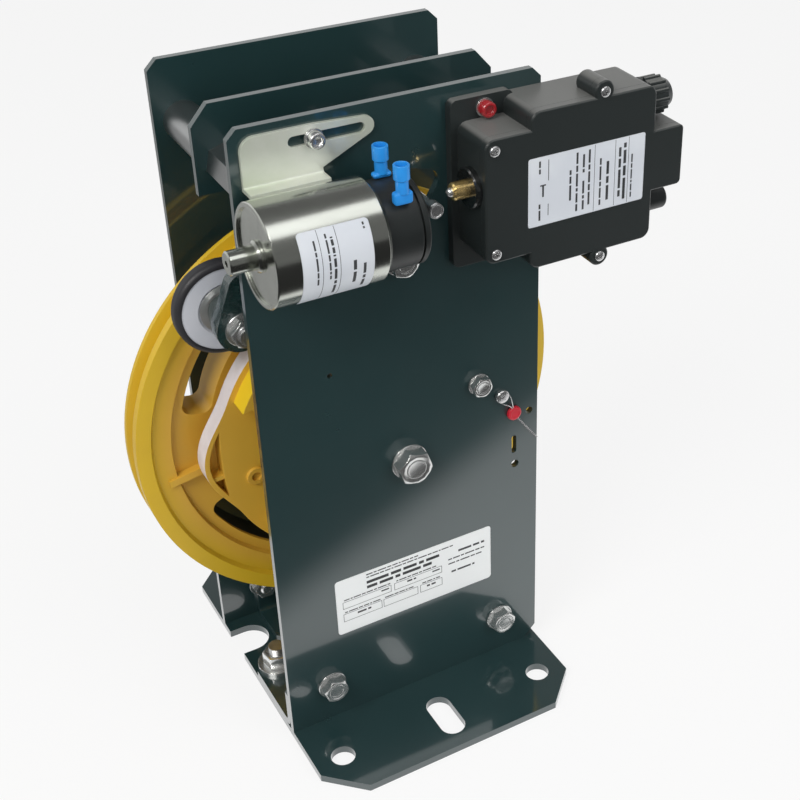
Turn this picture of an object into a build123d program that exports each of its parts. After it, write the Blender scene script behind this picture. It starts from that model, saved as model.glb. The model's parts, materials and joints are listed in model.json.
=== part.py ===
from build123d import *
import os
from math import cos, radians, sin

# Overspeed governor of a lift: two side plates on a foundation plate carry the rope sheave.
# A four-lobed cam on the sheave rocks a sprung arm through a roller; at overspeed, or when the
# solenoid strikes its pin, the arm swings on and its pawl drops into the ratchet teeth.
# Frame: X to the right, Y to the rear, Z up, origin on the ground below the sheave axle.

os.makedirs("parts", exist_ok=True)

# Base plate
plate_width = 170.0
base_depth = 237.0
base_thickness = 4.8
base_corner = 21.5
foundation_hole = 14.5
foundation_edge_x = 17.6
foundation_edge_y = 28.5
slot_width = 15.5
slot_length = 33.0
slot_edge = 25.8
notch_radius = 11.9
notch_depth = 21.0
notch_y = 33.2

# Side plates and middle plate
plates_inside = 108.3
plate_thickness = 4.0
front_plate_top = 392.6
rear_plate_top = 390.4
front_plate_corner = 5.0
front_plate_foot_corner = 8.0
rear_plate_corner = 5.7
middle_plate_width = 169.8
middle_plate_bottom = 339.0
middle_plate_top = 386.6
middle_plate_front = -6.95
slit_edge = 15.8
side_hole_edge = 5.5
low_hole_edge = 15.2
slit_z = 161.8
slit_length = 12.4
slit_width = 3.2
middle_corner_x = 11.0
middle_corner_z = 9.6
hole_clearance = 0.3

# Angles that join the side plates to the base
angle_thickness = 4.0
angle_top = 40.0
angle_bend = 3.0
front_angle_reach = 60.0
rear_angle_reach = 40.0
rear_angle_width = 124.0
angle_corner = 8.0
stud_radius = 5.0
stud_reach = 4.6
front_stud_x = 71.0
front_stud_y = -2.0
rear_stud_x = 25.0
rear_stud_y = 33.0
stud_washer_radius = 12.4
stud_washer_thickness = 2.4
stud_nut_flats = 16.0
stud_nut_height = 8.2

# Flange bolts through plates and angles
side_bolt_x = 58.0
side_bolt_z = 31.5
side_bolt_radius = 4.0
side_bolt_flange = 9.0
side_bolt_flats = 13.0
side_bolt_head = 8.0
side_nut_height = 7.5
flange_height = 1.8
thread_clearance = 0.05

# Spacers between the plates
spacer_x = 69.0
spacer_z = 355.0
round_spacer_radius = 11.0
hex_spacer_flats = 19.0
hex_spacer_turn = 17.0
spacer_stud_radius = 4.0
spacer_bore_depth = 16.0
spacer_screw_head = 8.0
spacer_screw_sink = 3.4

# Axle of the sheave
axle_z = 175.4
axle_radius = 10.0
axle_bolt_radius = 5.0
axle_bolt_depth = 24.0
axle_bolt_flange = 11.0
axle_bolt_flats = 15.0
axle_bolt_head = 10.0
sleeve_radius = 14.0
end_play = 0.2
running_fit = 0.05

# Ball bearings of the sheave
bearing_radius = 23.5
bearing_width = 14.0
front_bearing_front = -2.0
rear_bearing_rear = 33.0
bearing_seat_fit = 0.02
bearing_shoulder = 20.5

# Sheave
sheave_radius = 133.4
rim_front = 11.9
rim_rear = 31.6
groove_front = 17.5
groove_rear = 28.5
groove_depth = 12.8
groove_root_rise = 1.8
groove_root_width = 4.6
front_rim_wall = 8.6
front_rim_slope = 1.6
rim_ledge_y = 15.0
rim_ledge = 10.9
web_front = 18.5
web_rear = 24.5
rear_rim_wall = 19.4
hub_radius = 34.0
hub_rear = 34.5
spigot_radius = 28.0
spigot_front = -3.0
window_rim = 6.7
window_height = 17.6
window_wall = 3.0
window_wall_rear = 40.0
window_start = 206.5
window_sweep = 51.5
window_corner = 6.0
rib_angle = 189.0
rib_width = 4.5
rib_front = 13.0
rib_overlap = 5.7
screw_boss_radius = 9.0

# Cam and ratchet wheel
cam_base_radius = 91.5
cam_lift = 9.5
cam_front = -5.5
cam_rear = 6.0
lobe_angle = 181.5
lobe_half_width = 25.0
lobe_wall = 3.0
lobe_pocket_half = 14.0
lobe_pocket_floor = 2.5
lobe_rib_offset = 5.5
lobe_rib_width = 2.6
rear_recess_inner = 40.0
rear_recess_outer = 63.0
rear_recess_depth = 5.5
spigot_fit = 0.05
ratchet_front = -19.5
ratchet_hub_radius = 44.0
tooth_radius = 88.0
tooth_end_angle = 155.4
tooth_sweep = 26.0
tooth_hook_depth = 4.0
tooth_hook_angle = 2.2
cam_screw_circle = 74.0
cam_screw_angle = 192.5
cam_screw_head = 5.8
cam_screw_head_height = 1.8
cam_screw_recess = 2.8
cam_screw_radius = 3.0
cam_screw_length = 22.0

# Rocker: shaft, arms, roller, pawl, trip pin and spring
pivot_z = 304.0
pivot_radius = 7.0
pivot_collar_radius = 12.0
pivot_collar_height = 8.0
pivot_end = -12.0
pivot_bolt_radius = 4.0
pivot_bolt_depth = 22.0
clip_radius = 10.5
clip_front = -15.6
clip_rear = -13.6
rocker_hub_radius = 16.0
rocker_hub_front = -45.9
rocker_hub_rear = -15.9
bush_wall = 2.0
rocker_front = -36.5
rocker_rear = -28.5
rocker_edge = 1.2
roller_x = -80.4
roller_z = 275.4
roller_radius = 27.0
roller_hub_radius = 23.6
roller_front = -12.8
roller_rear = -3.4
roller_tyre_overhang = 0.5
roller_shoulder = 3.0
roller_bearing_radius = 13.7
roller_boss_front_radius = 13.5
roller_boss_rear_radius = 10.0
roller_pin_radius = 5.0
roller_pin_head = 8.0
roller_pin_head_height = 2.2
roller_nut_flange = 9.5
roller_nut_flats = 14.0
roller_nut_height = 7.5
arm_top_x = -77.5
arm_top_z = 298.5
arm_top_radius = 8.0
pawl_arm_x = 78.0
pawl_arm_z = 272.0
pawl_arm_radius = 14.0
pawl_rear = -8.0
pawl_screw_places = [(70.5, 276.5), (84.5, 271.5)]
pawl_screw_depth = 12.0
pawl_screw_radius = 3.0
pawl_screw_head = 5.0
pawl_screw_head_height = 3.5
trip_pin_x = 6.4
trip_pin_z = 342.9
trip_lug_radius = 7.0
trip_pin_radius = 2.8
trip_pin_head = 4.0
trip_pin_neck = -83.5
trip_pin_end = -89.0
spring_post_x = -35.0
spring_post_z = 262.0
spring_lug_radius = 7.5
spring_pin_radius = 3.5
spring_pin_head = 5.5
spring_y = -44.5
spring_wire = 0.9
spring_radius = 5.2
spring_anchor_x = 45.5
spring_anchor_z = 212.5
anchor_bolt_radius = 3.0
anchor_bolt_flange = 6.6
anchor_bolt_flats = 10.0
anchor_bolt_head = 6.4
anchor_collar_radius = 8.0
anchor_collar_height = 6.5
arc_slot_outer = 50.0
arc_slot_inner = 29.0
arc_slot_left = 25.0
arc_slot_right = 32.0
arc_slot_corner = 6.0

# Small socket-head screws of bracket and switch
small_screw_radius = 2.5
small_screw_head = 4.2
small_screw_head_height = 4.8
small_washer_radius = 5.0
small_washer_thickness = 1.0
small_screw_end = -47.0

# Sealed screw and its wire
seal_screw_edge = 24.7
seal_screw_z = 199.5
seal_edge = 18.8
seal_z = 187.2
seal_wire_radius = 0.5

# Solenoid with cap, connectors and bracket
solenoid_y = -85.0
solenoid_z = 340.8
can_radius = 26.0
can_left = -86.2
can_right = -27.5
can_rim = 1.2
can_boss_radius = 8.0
cap_radius = 22.7
cap_right = -5.6
plunger_radius = 6.0
plunger_left = -100.6
plunger_recess = 3.0
plunger_recess_radius = 1.7
plunger_fit = 0.08
trip_rod_radius = 2.5
trip_rod_end = -6.0
plunger_stroke = 8.0
connector_x = -18.0
connector_rear_y = -80.0
connector_front_y = -102.0
connector_rear_foot = 363.5
connector_rear_top = 380.0
connector_front_foot = 358.5
connector_front_top = 378.6
connector_foot_width = 9.7
connector_foot_depth = 5.0
connector_neck_radius = 3.15
connector_top_radius = 4.0
bracket_thickness = 2.0
bracket_left = -80.0
bracket_right = -39.0
bracket_bottom = 361.4
bracket_top = 388.4
bracket_finger_end = -11.0
bracket_knee_z = 365.5
bracket_finger_z = 382.0
bracket_finger_radius = 5.0
bracket_slot_left = -56.0
bracket_slot_right = -16.0
bracket_slot_width = 5.5
bracket_slot_z = 381.5
bracket_shelf = 10.8
bracket_screw_x = -43.0

# Switch box
box_back = -58.2
box_joint = -86.0
box_front = -91.0
box_left = 59.5
box_right = 135.5
box_bottom = 296.5
box_top = 383.8
box_corner = 5.5
lobe_left = 33.0
lobe_bottom = 306.0
lobe_top = 374.3
tab_right = 154.5
tab_bottom = 324.0
tab_top = 358.3
ear_radius = 5.8
ear_upper_z = 386.5
ear_lower_z = 293.5
ear_x = 102.8
ear_length = 13.0
cover_screw_radius = 1.5
cover_screw_head = 3.0
cover_screw_depth = 8.0
flange_left = 29.0
flange_bottom = 292.7
flange_top = 386.0
flange_thickness = 5.0
flange_screw_x = 48.6
flange_screw_z = 379.6
flange_screw_low_z = 300.7
switch_axis_y = -77.5
switch_axis_z = 345.0
collar_radius = 10.8
collar_left = 29.5
brass_radius = 4.75
brass_left = 21.0
brass_stroke = 4.0
ball_radius = 2.5
ball_stand_out = 0.4
switch_travel_bore = 20.0
gland_y = -72.0
gland_z = 370.0
gland_thread_radius = 7.5
gland_cap_radius = 10.0
gland_right = 154.5
gland_bore = 3.6
gland_thread_length = 9.0
gland_flange = 4.5
plug_y = -70.0
plug_z = 308.0
plug_radius = 7.0
plug_right = 157.5

inside_half = plates_inside / 2
foundation_x = plate_width / 2 - foundation_edge_x
foundation_y = base_depth / 2 - foundation_edge_y
slot_y = base_depth / 2 - slot_edge
outside_half = inside_half + plate_thickness
base_top = base_thickness
middle_plate_rear = middle_plate_front + plate_thickness


def facing(y):
    """Upright drawing plane at depth y, seen from the front; extruding moves towards the front."""
    return Plane.XZ.offset(-y)


def polar(radius, angle, x=0.0, z=0.0):
    """Point of the upright plane at a radius and an anticlockwise angle from +X."""
    return (x + radius * cos(radians(angle)), z + radius * sin(radians(angle)))


def bar(x, z, y_rear, y_front, radius):
    """Plain round bar along Y."""
    with BuildPart() as piece:
        with BuildSketch(facing(y_rear)):
            with Locations((x, z)):
                Circle(radius)
        extrude(amount=y_rear - y_front)
    return piece.part


def flange_bolt(x, z, seat, side, flange, flats, height, radius, length):
    """Hexagonal bolt with a flange; side -1 puts the head in front of the seat, 1 behind it."""
    with BuildPart() as piece:
        with BuildSketch(facing(seat)):
            with Locations((x, z)):
                Circle(flange)
        extrude(amount=-side * flange_height)
        with BuildSketch(facing(seat)):
            with Locations((x, z)):
                RegularPolygon(flats / 2, 6, major_radius=False)
        extrude(amount=-side * height)
        with BuildSketch(facing(seat)):
            with Locations((x, z)):
                Circle(radius)
        extrude(amount=side * length)
    return piece.part


def flange_nut(x, z, seat, side, flange, flats, height, bore):
    """Flanged hexagonal nut; side -1 lets it stand in front of the seat, 1 behind it."""
    with BuildPart() as piece:
        with BuildSketch(facing(seat)):
            with Locations((x, z)):
                Circle(flange)
                Circle(bore, mode=Mode.SUBTRACT)
        extrude(amount=-side * flange_height)
        with BuildSketch(facing(seat)):
            with Locations((x, z)):
                RegularPolygon(flats / 2, 6, major_radius=False)
                Circle(bore, mode=Mode.SUBTRACT)
        extrude(amount=-side * height)
    return piece.part


def ring(x, z, y_rear, y_front, outer, inner):
    """Plain ring about an axis along Y."""
    with BuildPart() as piece:
        with BuildSketch(facing(y_rear)):
            with Locations((x, z)):
                Circle(outer)
                Circle(inner, mode=Mode.SUBTRACT)
        extrude(amount=y_rear - y_front)
    return piece.part


def save(piece, label):
    piece.label = label
    export_step(piece, f"parts/{label}.step")


# Base plate with foundation holes, slots and open notches for the rope
notch_x = plate_width / 2 - notch_depth + notch_radius
with BuildPart() as base_plate:
    with BuildSketch(Plane.XY):
        Rectangle(plate_width, base_depth)
    extrude(amount=base_thickness)
    chamfer(base_plate.edges().filter_by(Axis.Z), length=base_corner)
    with BuildSketch(Plane.XY):
        with GridLocations(2 * foundation_x, 2 * foundation_y, 2, 2):
            Circle(foundation_hole / 2)
        with Locations((0, -slot_y), (0, slot_y)):
            SlotOverall(slot_length, slot_width, rotation=90)
        for side in (-1, 1):
            with Locations((side * notch_x, notch_y)):
                Circle(notch_radius)
            with Locations((side * (notch_x + notch_radius), notch_y)):
                Rectangle(2 * notch_radius, 2 * notch_radius)
    extrude(amount=base_thickness, mode=Mode.SUBTRACT)
save(base_plate.part, "base_plate")


# Front side plate with the arc slot for the trip pin
side_bolt_places = [(-side_bolt_x, side_bolt_z), (side_bolt_x, side_bolt_z)]
spacer_places = [(-spacer_x, spacer_z), (spacer_x, spacer_z)]
slit_x = plate_width / 2 - slit_edge
seal_screw_x = plate_width / 2 - seal_screw_edge
seal_x = plate_width / 2 - seal_edge
small_holes = [
    ((-43.6, 246.5), 1.5),
    ((plate_width / 2 - side_hole_edge, 182.5), 2.3),
    ((plate_width / 2 - low_hole_edge, 147.4), 2.6),
    ((seal_x, seal_z), 1.3),
    ((bracket_screw_x, bracket_slot_z), small_screw_radius + hole_clearance),
    ((flange_screw_x, flange_screw_z), small_screw_radius + hole_clearance),
    ((flange_screw_x, flange_screw_low_z), small_screw_radius + hole_clearance),
]
with BuildPart() as front_side_plate:
    with BuildSketch(facing(-inside_half)):
        with Locations((0, (base_top + front_plate_top) / 2)):
            Rectangle(plate_width, front_plate_top - base_top)
    extrude(amount=plate_thickness)
    uprights = front_side_plate.edges().filter_by(Axis.Y)
    chamfer(uprights.group_by(Axis.Z)[-1], length=front_plate_corner)
    feet = front_side_plate.edges().filter_by(Axis.Y).group_by(Axis.Z)[0]
    chamfer(feet.sort_by(Axis.X)[-1], length=front_plate_foot_corner)
    with BuildSketch(facing(-inside_half)):
        with Locations((0, axle_z)):
            Circle(axle_bolt_radius + hole_clearance)
        with Locations((0, pivot_z)):
            Circle(pivot_bolt_radius + hole_clearance)
        with Locations(*side_bolt_places):
            Circle(side_bolt_radius + hole_clearance)
        with Locations((spring_anchor_x, spring_anchor_z)):
            Circle(anchor_bolt_radius + hole_clearance)
        with Locations((seal_screw_x, seal_screw_z)):
            Circle(trip_rod_radius + hole_clearance)
        for place, radius in small_holes:
            with Locations(place):
                Circle(radius)
        with Locations((slit_x, slit_z)):
            SlotOverall(slit_length, slit_width, rotation=90)
    extrude(amount=plate_thickness, mode=Mode.SUBTRACT)
    with BuildSketch(facing(-inside_half)):
        with BuildLine():
            first = 90 - arc_slot_right
            sweep_angle = arc_slot_left + arc_slot_right
            CenterArc((0, pivot_z), arc_slot_outer, first, sweep_angle)
            CenterArc((0, pivot_z), arc_slot_inner, first, sweep_angle)
            for angle in (first, first + sweep_angle):
                Line(polar(arc_slot_inner, angle, 0, pivot_z), polar(arc_slot_outer, angle, 0, pivot_z))
        make_face()
    extrude(amount=plate_thickness, mode=Mode.SUBTRACT)
    slot_ends = front_side_plate.edges().filter_by(Axis.Y).filter_by_position(
        Axis.Z, pivot_z + 12, pivot_z + arc_slot_outer
    ).filter_by_position(Axis.X, -30, 40)
    fillet(slot_ends, radius=arc_slot_corner)
    with Locations(*[Location((x, -outside_half, z), (90, 0, 0)) for x, z in spacer_places]):
        CounterSinkHole(spacer_stud_radius + hole_clearance, spacer_screw_head + hole_clearance)
save(front_side_plate.part, "front_side_plate")


# Rear side plate
with BuildPart() as rear_side_plate:
    with BuildSketch(facing(outside_half)):
        with Locations((0, (base_top + rear_plate_top) / 2)):
            Rectangle(plate_width, rear_plate_top - base_top)
    extrude(amount=plate_thickness)
    uprights = rear_side_plate.edges().filter_by(Axis.Y)
    chamfer(uprights.group_by(Axis.Z)[-1], length=rear_plate_corner)
    with BuildSketch(facing(outside_half)):
        with Locations((0, axle_z)):
            Circle(axle_bolt_radius + hole_clearance)
        with Locations(*side_bolt_places, *spacer_places):
            Circle(side_bolt_radius + hole_clearance)
    extrude(amount=plate_thickness, mode=Mode.SUBTRACT)
save(rear_side_plate.part, "rear_side_plate")


# Middle plate, held between the round and the hexagonal spacers
with BuildPart() as middle_plate:
    with BuildSketch(facing(middle_plate_rear)):
        with Locations((0, (middle_plate_bottom + middle_plate_top) / 2)):
            Rectangle(middle_plate_width, middle_plate_top - middle_plate_bottom)
    extrude(amount=plate_thickness)
    tops = middle_plate.edges().filter_by(Axis.Y).group_by(Axis.Z)[-1]
    chamfer(tops, length=middle_corner_x, length2=middle_corner_z)
    with BuildSketch(facing(middle_plate_rear)):
        with Locations(*spacer_places):
            Circle(spacer_stud_radius + hole_clearance)
    extrude(amount=plate_thickness, mode=Mode.SUBTRACT)
save(middle_plate.part, "middle_plate")


# Bent angles: each stands on the base and lies against the inside of a side plate
def bent_angle(side, width, reach, stud_places):
    wall = side * inside_half
    with BuildPart() as angle:
        with BuildSketch(Plane.YZ.offset(-width / 2)):
            with BuildLine():
                Polyline(
                    (wall, base_top),
                    (wall, angle_top),
                    (wall - side * angle_thickness, angle_top),
                    (wall - side * angle_thickness, base_top + angle_thickness),
                    (wall - side * reach, base_top + angle_thickness),
                    (wall - side * reach, base_top),
                    close=True,
                )
            make_face()
        extrude(amount=width)
        bends = angle.edges().filter_by(Axis.X)
        outer = bends.sort_by_distance((0, wall, base_top))[0]
        inner = bends.sort_by_distance((0, wall - side * angle_thickness, base_top + angle_thickness))[0]
        fillet(inner, radius=angle_bend)
        outer = angle.edges().filter_by(Axis.X).sort_by_distance((0, wall, base_top))[0]
        fillet(outer, radius=angle_bend + angle_thickness)
        chamfer(angle.edges().filter_by(Axis.Y).group_by(Axis.Z)[-1], length=angle_corner)
        toes = angle.edges().filter_by(Axis.Z).sort_by(Axis.Y)
        toes = toes[-2:] if side < 0 else toes[:2]
        chamfer(toes, length=angle_corner)
        with BuildSketch(facing(wall)):
            with Locations(*side_bolt_places):
                Circle(side_bolt_radius + hole_clearance)
        extrude(amount=side * 2 * angle_thickness, mode=Mode.SUBTRACT)
        with BuildSketch(Plane.XY.offset(base_top)):
            with Locations(*stud_places):
                Circle(stud_radius + hole_clearance)
        extrude(amount=2 * angle_thickness, mode=Mode.SUBTRACT)
    return angle.part


front_studs = [(-front_stud_x, front_stud_y), (front_stud_x, front_stud_y)]
rear_studs = [(-rear_stud_x, rear_stud_y), (rear_stud_x, rear_stud_y)]
save(bent_angle(-1, plate_width, front_angle_reach, front_studs), "front_angle")
save(bent_angle(1, rear_angle_width, rear_angle_reach, rear_studs), "rear_angle")


# Studs welded to the base, with a washer and a nut each, hold the angles down
washer_seat = base_top + angle_thickness
nut_seat = washer_seat + stud_washer_thickness
stud_top = nut_seat + stud_nut_height + stud_reach
with BuildPart() as angle_studs:
    with BuildSketch(Plane.XY.offset(base_top)):
        with Locations(*front_studs, *rear_studs):
            Circle(stud_radius)
    extrude(amount=stud_top - base_top)
    chamfer(angle_studs.edges().group_by(Axis.Z)[-1], length=0.9)
save(angle_studs.part, "angle_studs")

with BuildPart() as angle_washers:
    with BuildSketch(Plane.XY.offset(washer_seat)):
        with Locations(*front_studs, *rear_studs):
            Circle(stud_washer_radius)
            Circle(stud_radius + hole_clearance, mode=Mode.SUBTRACT)
    extrude(amount=stud_washer_thickness)
save(angle_washers.part, "angle_washers")

with BuildPart() as angle_nuts:
    with BuildSketch(Plane.XY.offset(nut_seat)):
        with Locations(*front_studs, *rear_studs):
            RegularPolygon(stud_nut_flats / 2, 6, major_radius=False)
            Circle(stud_radius + thread_clearance, mode=Mode.SUBTRACT)
    extrude(amount=stud_nut_height)
save(angle_nuts.part, "angle_nuts")


# Flange bolts and nuts through side plates and angles
bolt_grip = plate_thickness + angle_thickness + side_nut_height
with BuildPart() as side_bolts:
    for side in (-1, 1):
        for x, z in side_bolt_places:
            add(flange_bolt(x, z, side * outside_half, side, side_bolt_flange, side_bolt_flats,
                            side_bolt_head, side_bolt_radius, bolt_grip))
save(side_bolts.part, "side_bolts")

with BuildPart() as side_nuts:
    for side in (-1, 1):
        for x, z in side_bolt_places:
            add(flange_nut(x, z, side * (inside_half - angle_thickness), -side, side_bolt_flange,
                           side_bolt_flats, side_nut_height, side_bolt_radius + thread_clearance))
save(side_nuts.part, "side_nuts")


# Spacers: round ones to the rear of the middle plate, hexagonal ones in front of it
with BuildPart() as round_spacers:
    with BuildSketch(facing(inside_half)):
        with Locations(*spacer_places):
            Circle(round_spacer_radius)
    extrude(amount=inside_half - middle_plate_rear)
    for y in (inside_half, middle_plate_rear + spacer_bore_depth):
        with BuildSketch(facing(y)):
            with Locations(*spacer_places):
                Circle(spacer_stud_radius + thread_clearance)
        extrude(amount=spacer_bore_depth, mode=Mode.SUBTRACT)
save(round_spacers.part, "round_spacers")

with BuildPart() as hex_spacers:
    with BuildSketch(facing(middle_plate_front)):
        with Locations(*spacer_places):
            RegularPolygon(hex_spacer_flats / 2, 6, major_radius=False, rotation=hex_spacer_turn)
    extrude(amount=middle_plate_front + inside_half)
    with BuildSketch(facing(middle_plate_rear + spacer_bore_depth - 2)):
        with Locations(*spacer_places):
            Circle(spacer_stud_radius)
    extrude(amount=middle_plate_rear + spacer_bore_depth - 2 - middle_plate_front)
    with BuildSketch(facing(-inside_half + spacer_bore_depth)):
        with Locations(*spacer_places):
            Circle(spacer_stud_radius + thread_clearance)
    extrude(amount=spacer_bore_depth, mode=Mode.SUBTRACT)
save(hex_spacers.part, "hex_spacers")

screw_reach = plate_thickness + spacer_bore_depth - 2
with BuildPart() as front_spacer_screws:
    for x, z in spacer_places:
        with BuildSketch(Plane.XY.offset(z)):
            with BuildLine():
                Polyline(
                    (x, -outside_half),
                    (x + spacer_screw_head, -outside_half),
                    (x + spacer_stud_radius, -outside_half + spacer_screw_head - spacer_stud_radius),
                    (x + spacer_stud_radius, -outside_half + screw_reach),
                    (x, -outside_half + screw_reach),
                    close=True,
                )
            make_face()
        revolve(axis=Axis((x, 0, z), (0, 1, 0)))
save(front_spacer_screws.part, "front_spacer_screws")

with BuildPart() as rear_spacer_screws:
    for x, z in spacer_places:
        add(flange_bolt(x, z, outside_half, 1, side_bolt_flange, side_bolt_flats, side_bolt_head,
                        spacer_stud_radius, screw_reach))
save(rear_spacer_screws.part, "rear_spacer_screws")


# Axle with a threaded bore at each end, its sleeves and bolts
with BuildPart() as axle:
    with BuildSketch(facing(inside_half)):
        with Locations((0, axle_z)):
            Circle(axle_radius)
    extrude(amount=plates_inside)
    for y in (inside_half, -inside_half + axle_bolt_depth):
        with BuildSketch(facing(y)):
            with Locations((0, axle_z)):
                Circle(axle_bolt_radius + thread_clearance)
        extrude(amount=axle_bolt_depth, mode=Mode.SUBTRACT)
save(axle.part, "axle")

front_sleeve_rear = front_bearing_front - end_play
rear_sleeve_front = rear_bearing_rear + end_play
sleeve_bore = axle_radius + running_fit
with BuildPart() as axle_sleeves:
    add(ring(0, axle_z, front_sleeve_rear, -inside_half, sleeve_radius, sleeve_bore))
    add(ring(0, axle_z, inside_half, rear_sleeve_front, sleeve_radius, sleeve_bore))
save(axle_sleeves.part, "axle_sleeves")

axle_bolt_reach = plate_thickness + axle_bolt_depth - 2
with BuildPart() as axle_bolts:
    for side in (-1, 1):
        add(flange_bolt(0, axle_z, side * outside_half, side, axle_bolt_flange, axle_bolt_flats,
                        axle_bolt_head, axle_bolt_radius, axle_bolt_reach))
save(axle_bolts.part, "axle_bolts")


# Two ball bearings seated in the sheave
bearing_bore = axle_radius + running_fit
front_bearing_rear = front_bearing_front + bearing_width
rear_bearing_front = rear_bearing_rear - bearing_width
with BuildPart() as sheave_bearings:
    add(ring(0, axle_z, front_bearing_rear, front_bearing_front, bearing_radius, bearing_bore))
    add(ring(0, axle_z, rear_bearing_rear, rear_bearing_front, bearing_radius, bearing_bore))
save(sheave_bearings.part, "sheave_bearings")


# Sheave: rope groove, stepped rim, web with deep-walled windows, ribs, hub and spigot for the cam wheel
groove_middle = (groove_front + groove_rear) / 2
groove_root_radius = sheave_radius - groove_depth
groove_flank_radius = groove_root_radius + groove_root_rise
rim_bore_front = sheave_radius - front_rim_wall
rim_bore_rear = rim_bore_front - front_rim_slope
rim_ledge_radius = rim_bore_rear - rim_ledge
rear_rim_radius = sheave_radius - rear_rim_wall
window_outer_radius = rim_ledge_radius - window_rim
window_inner_radius = window_outer_radius - window_height
rib_end_radius = rim_ledge_radius + rib_overlap
seat_radius = bearing_radius + bearing_seat_fit
with BuildPart() as sheave:
    with BuildSketch(Plane.XY.offset(axle_z)):
        with BuildLine():
            Polyline(
                (groove_flank_radius, groove_middle + groove_root_width / 2),
                (sheave_radius, groove_rear),
                (sheave_radius, rim_rear),
                (rear_rim_radius, rim_rear),
                (rear_rim_radius - 3, web_rear),
                (hub_radius + 4, web_rear),
                (hub_radius, web_rear + 4),
                (hub_radius, hub_rear),
                (seat_radius, hub_rear),
                (seat_radius, rear_bearing_front),
                (bearing_shoulder, rear_bearing_front),
                (bearing_shoulder, front_bearing_rear),
                (seat_radius, front_bearing_rear),
                (seat_radius, spigot_front),
                (spigot_radius, spigot_front),
                (spigot_radius, cam_rear),
                (hub_radius, cam_rear),
                (hub_radius, web_front - 4),
                (hub_radius + 4, web_front),
                (rim_ledge_radius - 1, web_front),
                (rim_ledge_radius, rim_ledge_y),
                (rim_bore_rear, rim_ledge_y),
                (rim_bore_front, rim_front),
                (sheave_radius, rim_front),
                (sheave_radius, groove_front),
                (groove_flank_radius, groove_middle - groove_root_width / 2),
            )
            ThreePointArc(
                (groove_flank_radius, groove_middle - groove_root_width / 2),
                (groove_root_radius, groove_middle),
                (groove_flank_radius, groove_middle + groove_root_width / 2),
            )
        make_face()
    revolve(axis=Axis((0, 0, axle_z), (0, 1, 0)))
    for k in range(4):
        start = window_start + 90 * k
        with BuildSketch(facing(window_wall_rear)) as window:
            with BuildLine():
                CenterArc((0, axle_z), window_outer_radius, start, window_sweep)
                CenterArc((0, axle_z), window_inner_radius, start, window_sweep)
                for angle in (start, start + window_sweep):
                    Line(
                        polar(window_inner_radius, angle, 0, axle_z),
                        polar(window_outer_radius, angle, 0, axle_z),
                    )
            make_face()
            fillet(window.vertices(), radius=window_corner)
        opening = window.sketch
        with BuildSketch(facing(window_wall_rear)):
            offset(opening, amount=window_wall)
        extrude(amount=window_wall_rear - web_rear + 1)
        with BuildSketch(facing(window_wall_rear + 1)):
            add(opening.moved(Location((0, 1, 0))))
        extrude(amount=window_wall_rear - web_front + 2, mode=Mode.SUBTRACT)
        with BuildSketch(facing(web_front + 1)):
            middle = (hub_radius + rib_end_radius) / 2 - 1
            with Locations(polar(middle, rib_angle + 90 * k, 0, axle_z)):
                Rectangle(rib_end_radius - hub_radius + 2, rib_width, rotation=rib_angle + 90 * k)
        extrude(amount=web_front + 1 - rib_front)
        with BuildSketch(facing(web_front + 1)):
            with Locations(polar(cam_screw_circle, cam_screw_angle + 90 * k, 0, axle_z)):
                Circle(screw_boss_radius)
        extrude(amount=web_front + 1 - cam_rear)
        with BuildSketch(facing(cam_front + cam_screw_length)):
            with Locations(polar(cam_screw_circle, cam_screw_angle + 90 * k, 0, axle_z)):
                Circle(cam_screw_radius + thread_clearance)
        extrude(amount=cam_screw_length, mode=Mode.SUBTRACT)
save(sheave.part, "sheave")


# Cam and ratchet wheel: four smooth lobes, a pocket under each lobe and four hooked teeth in front
def cam_radius(offset):
    """Radius of the running surface at an angle from a lobe's middle."""
    if abs(offset) >= lobe_half_width:
        return cam_base_radius
    return cam_base_radius + cam_lift * cos(radians(90 * offset / lobe_half_width)) ** 2


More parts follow.
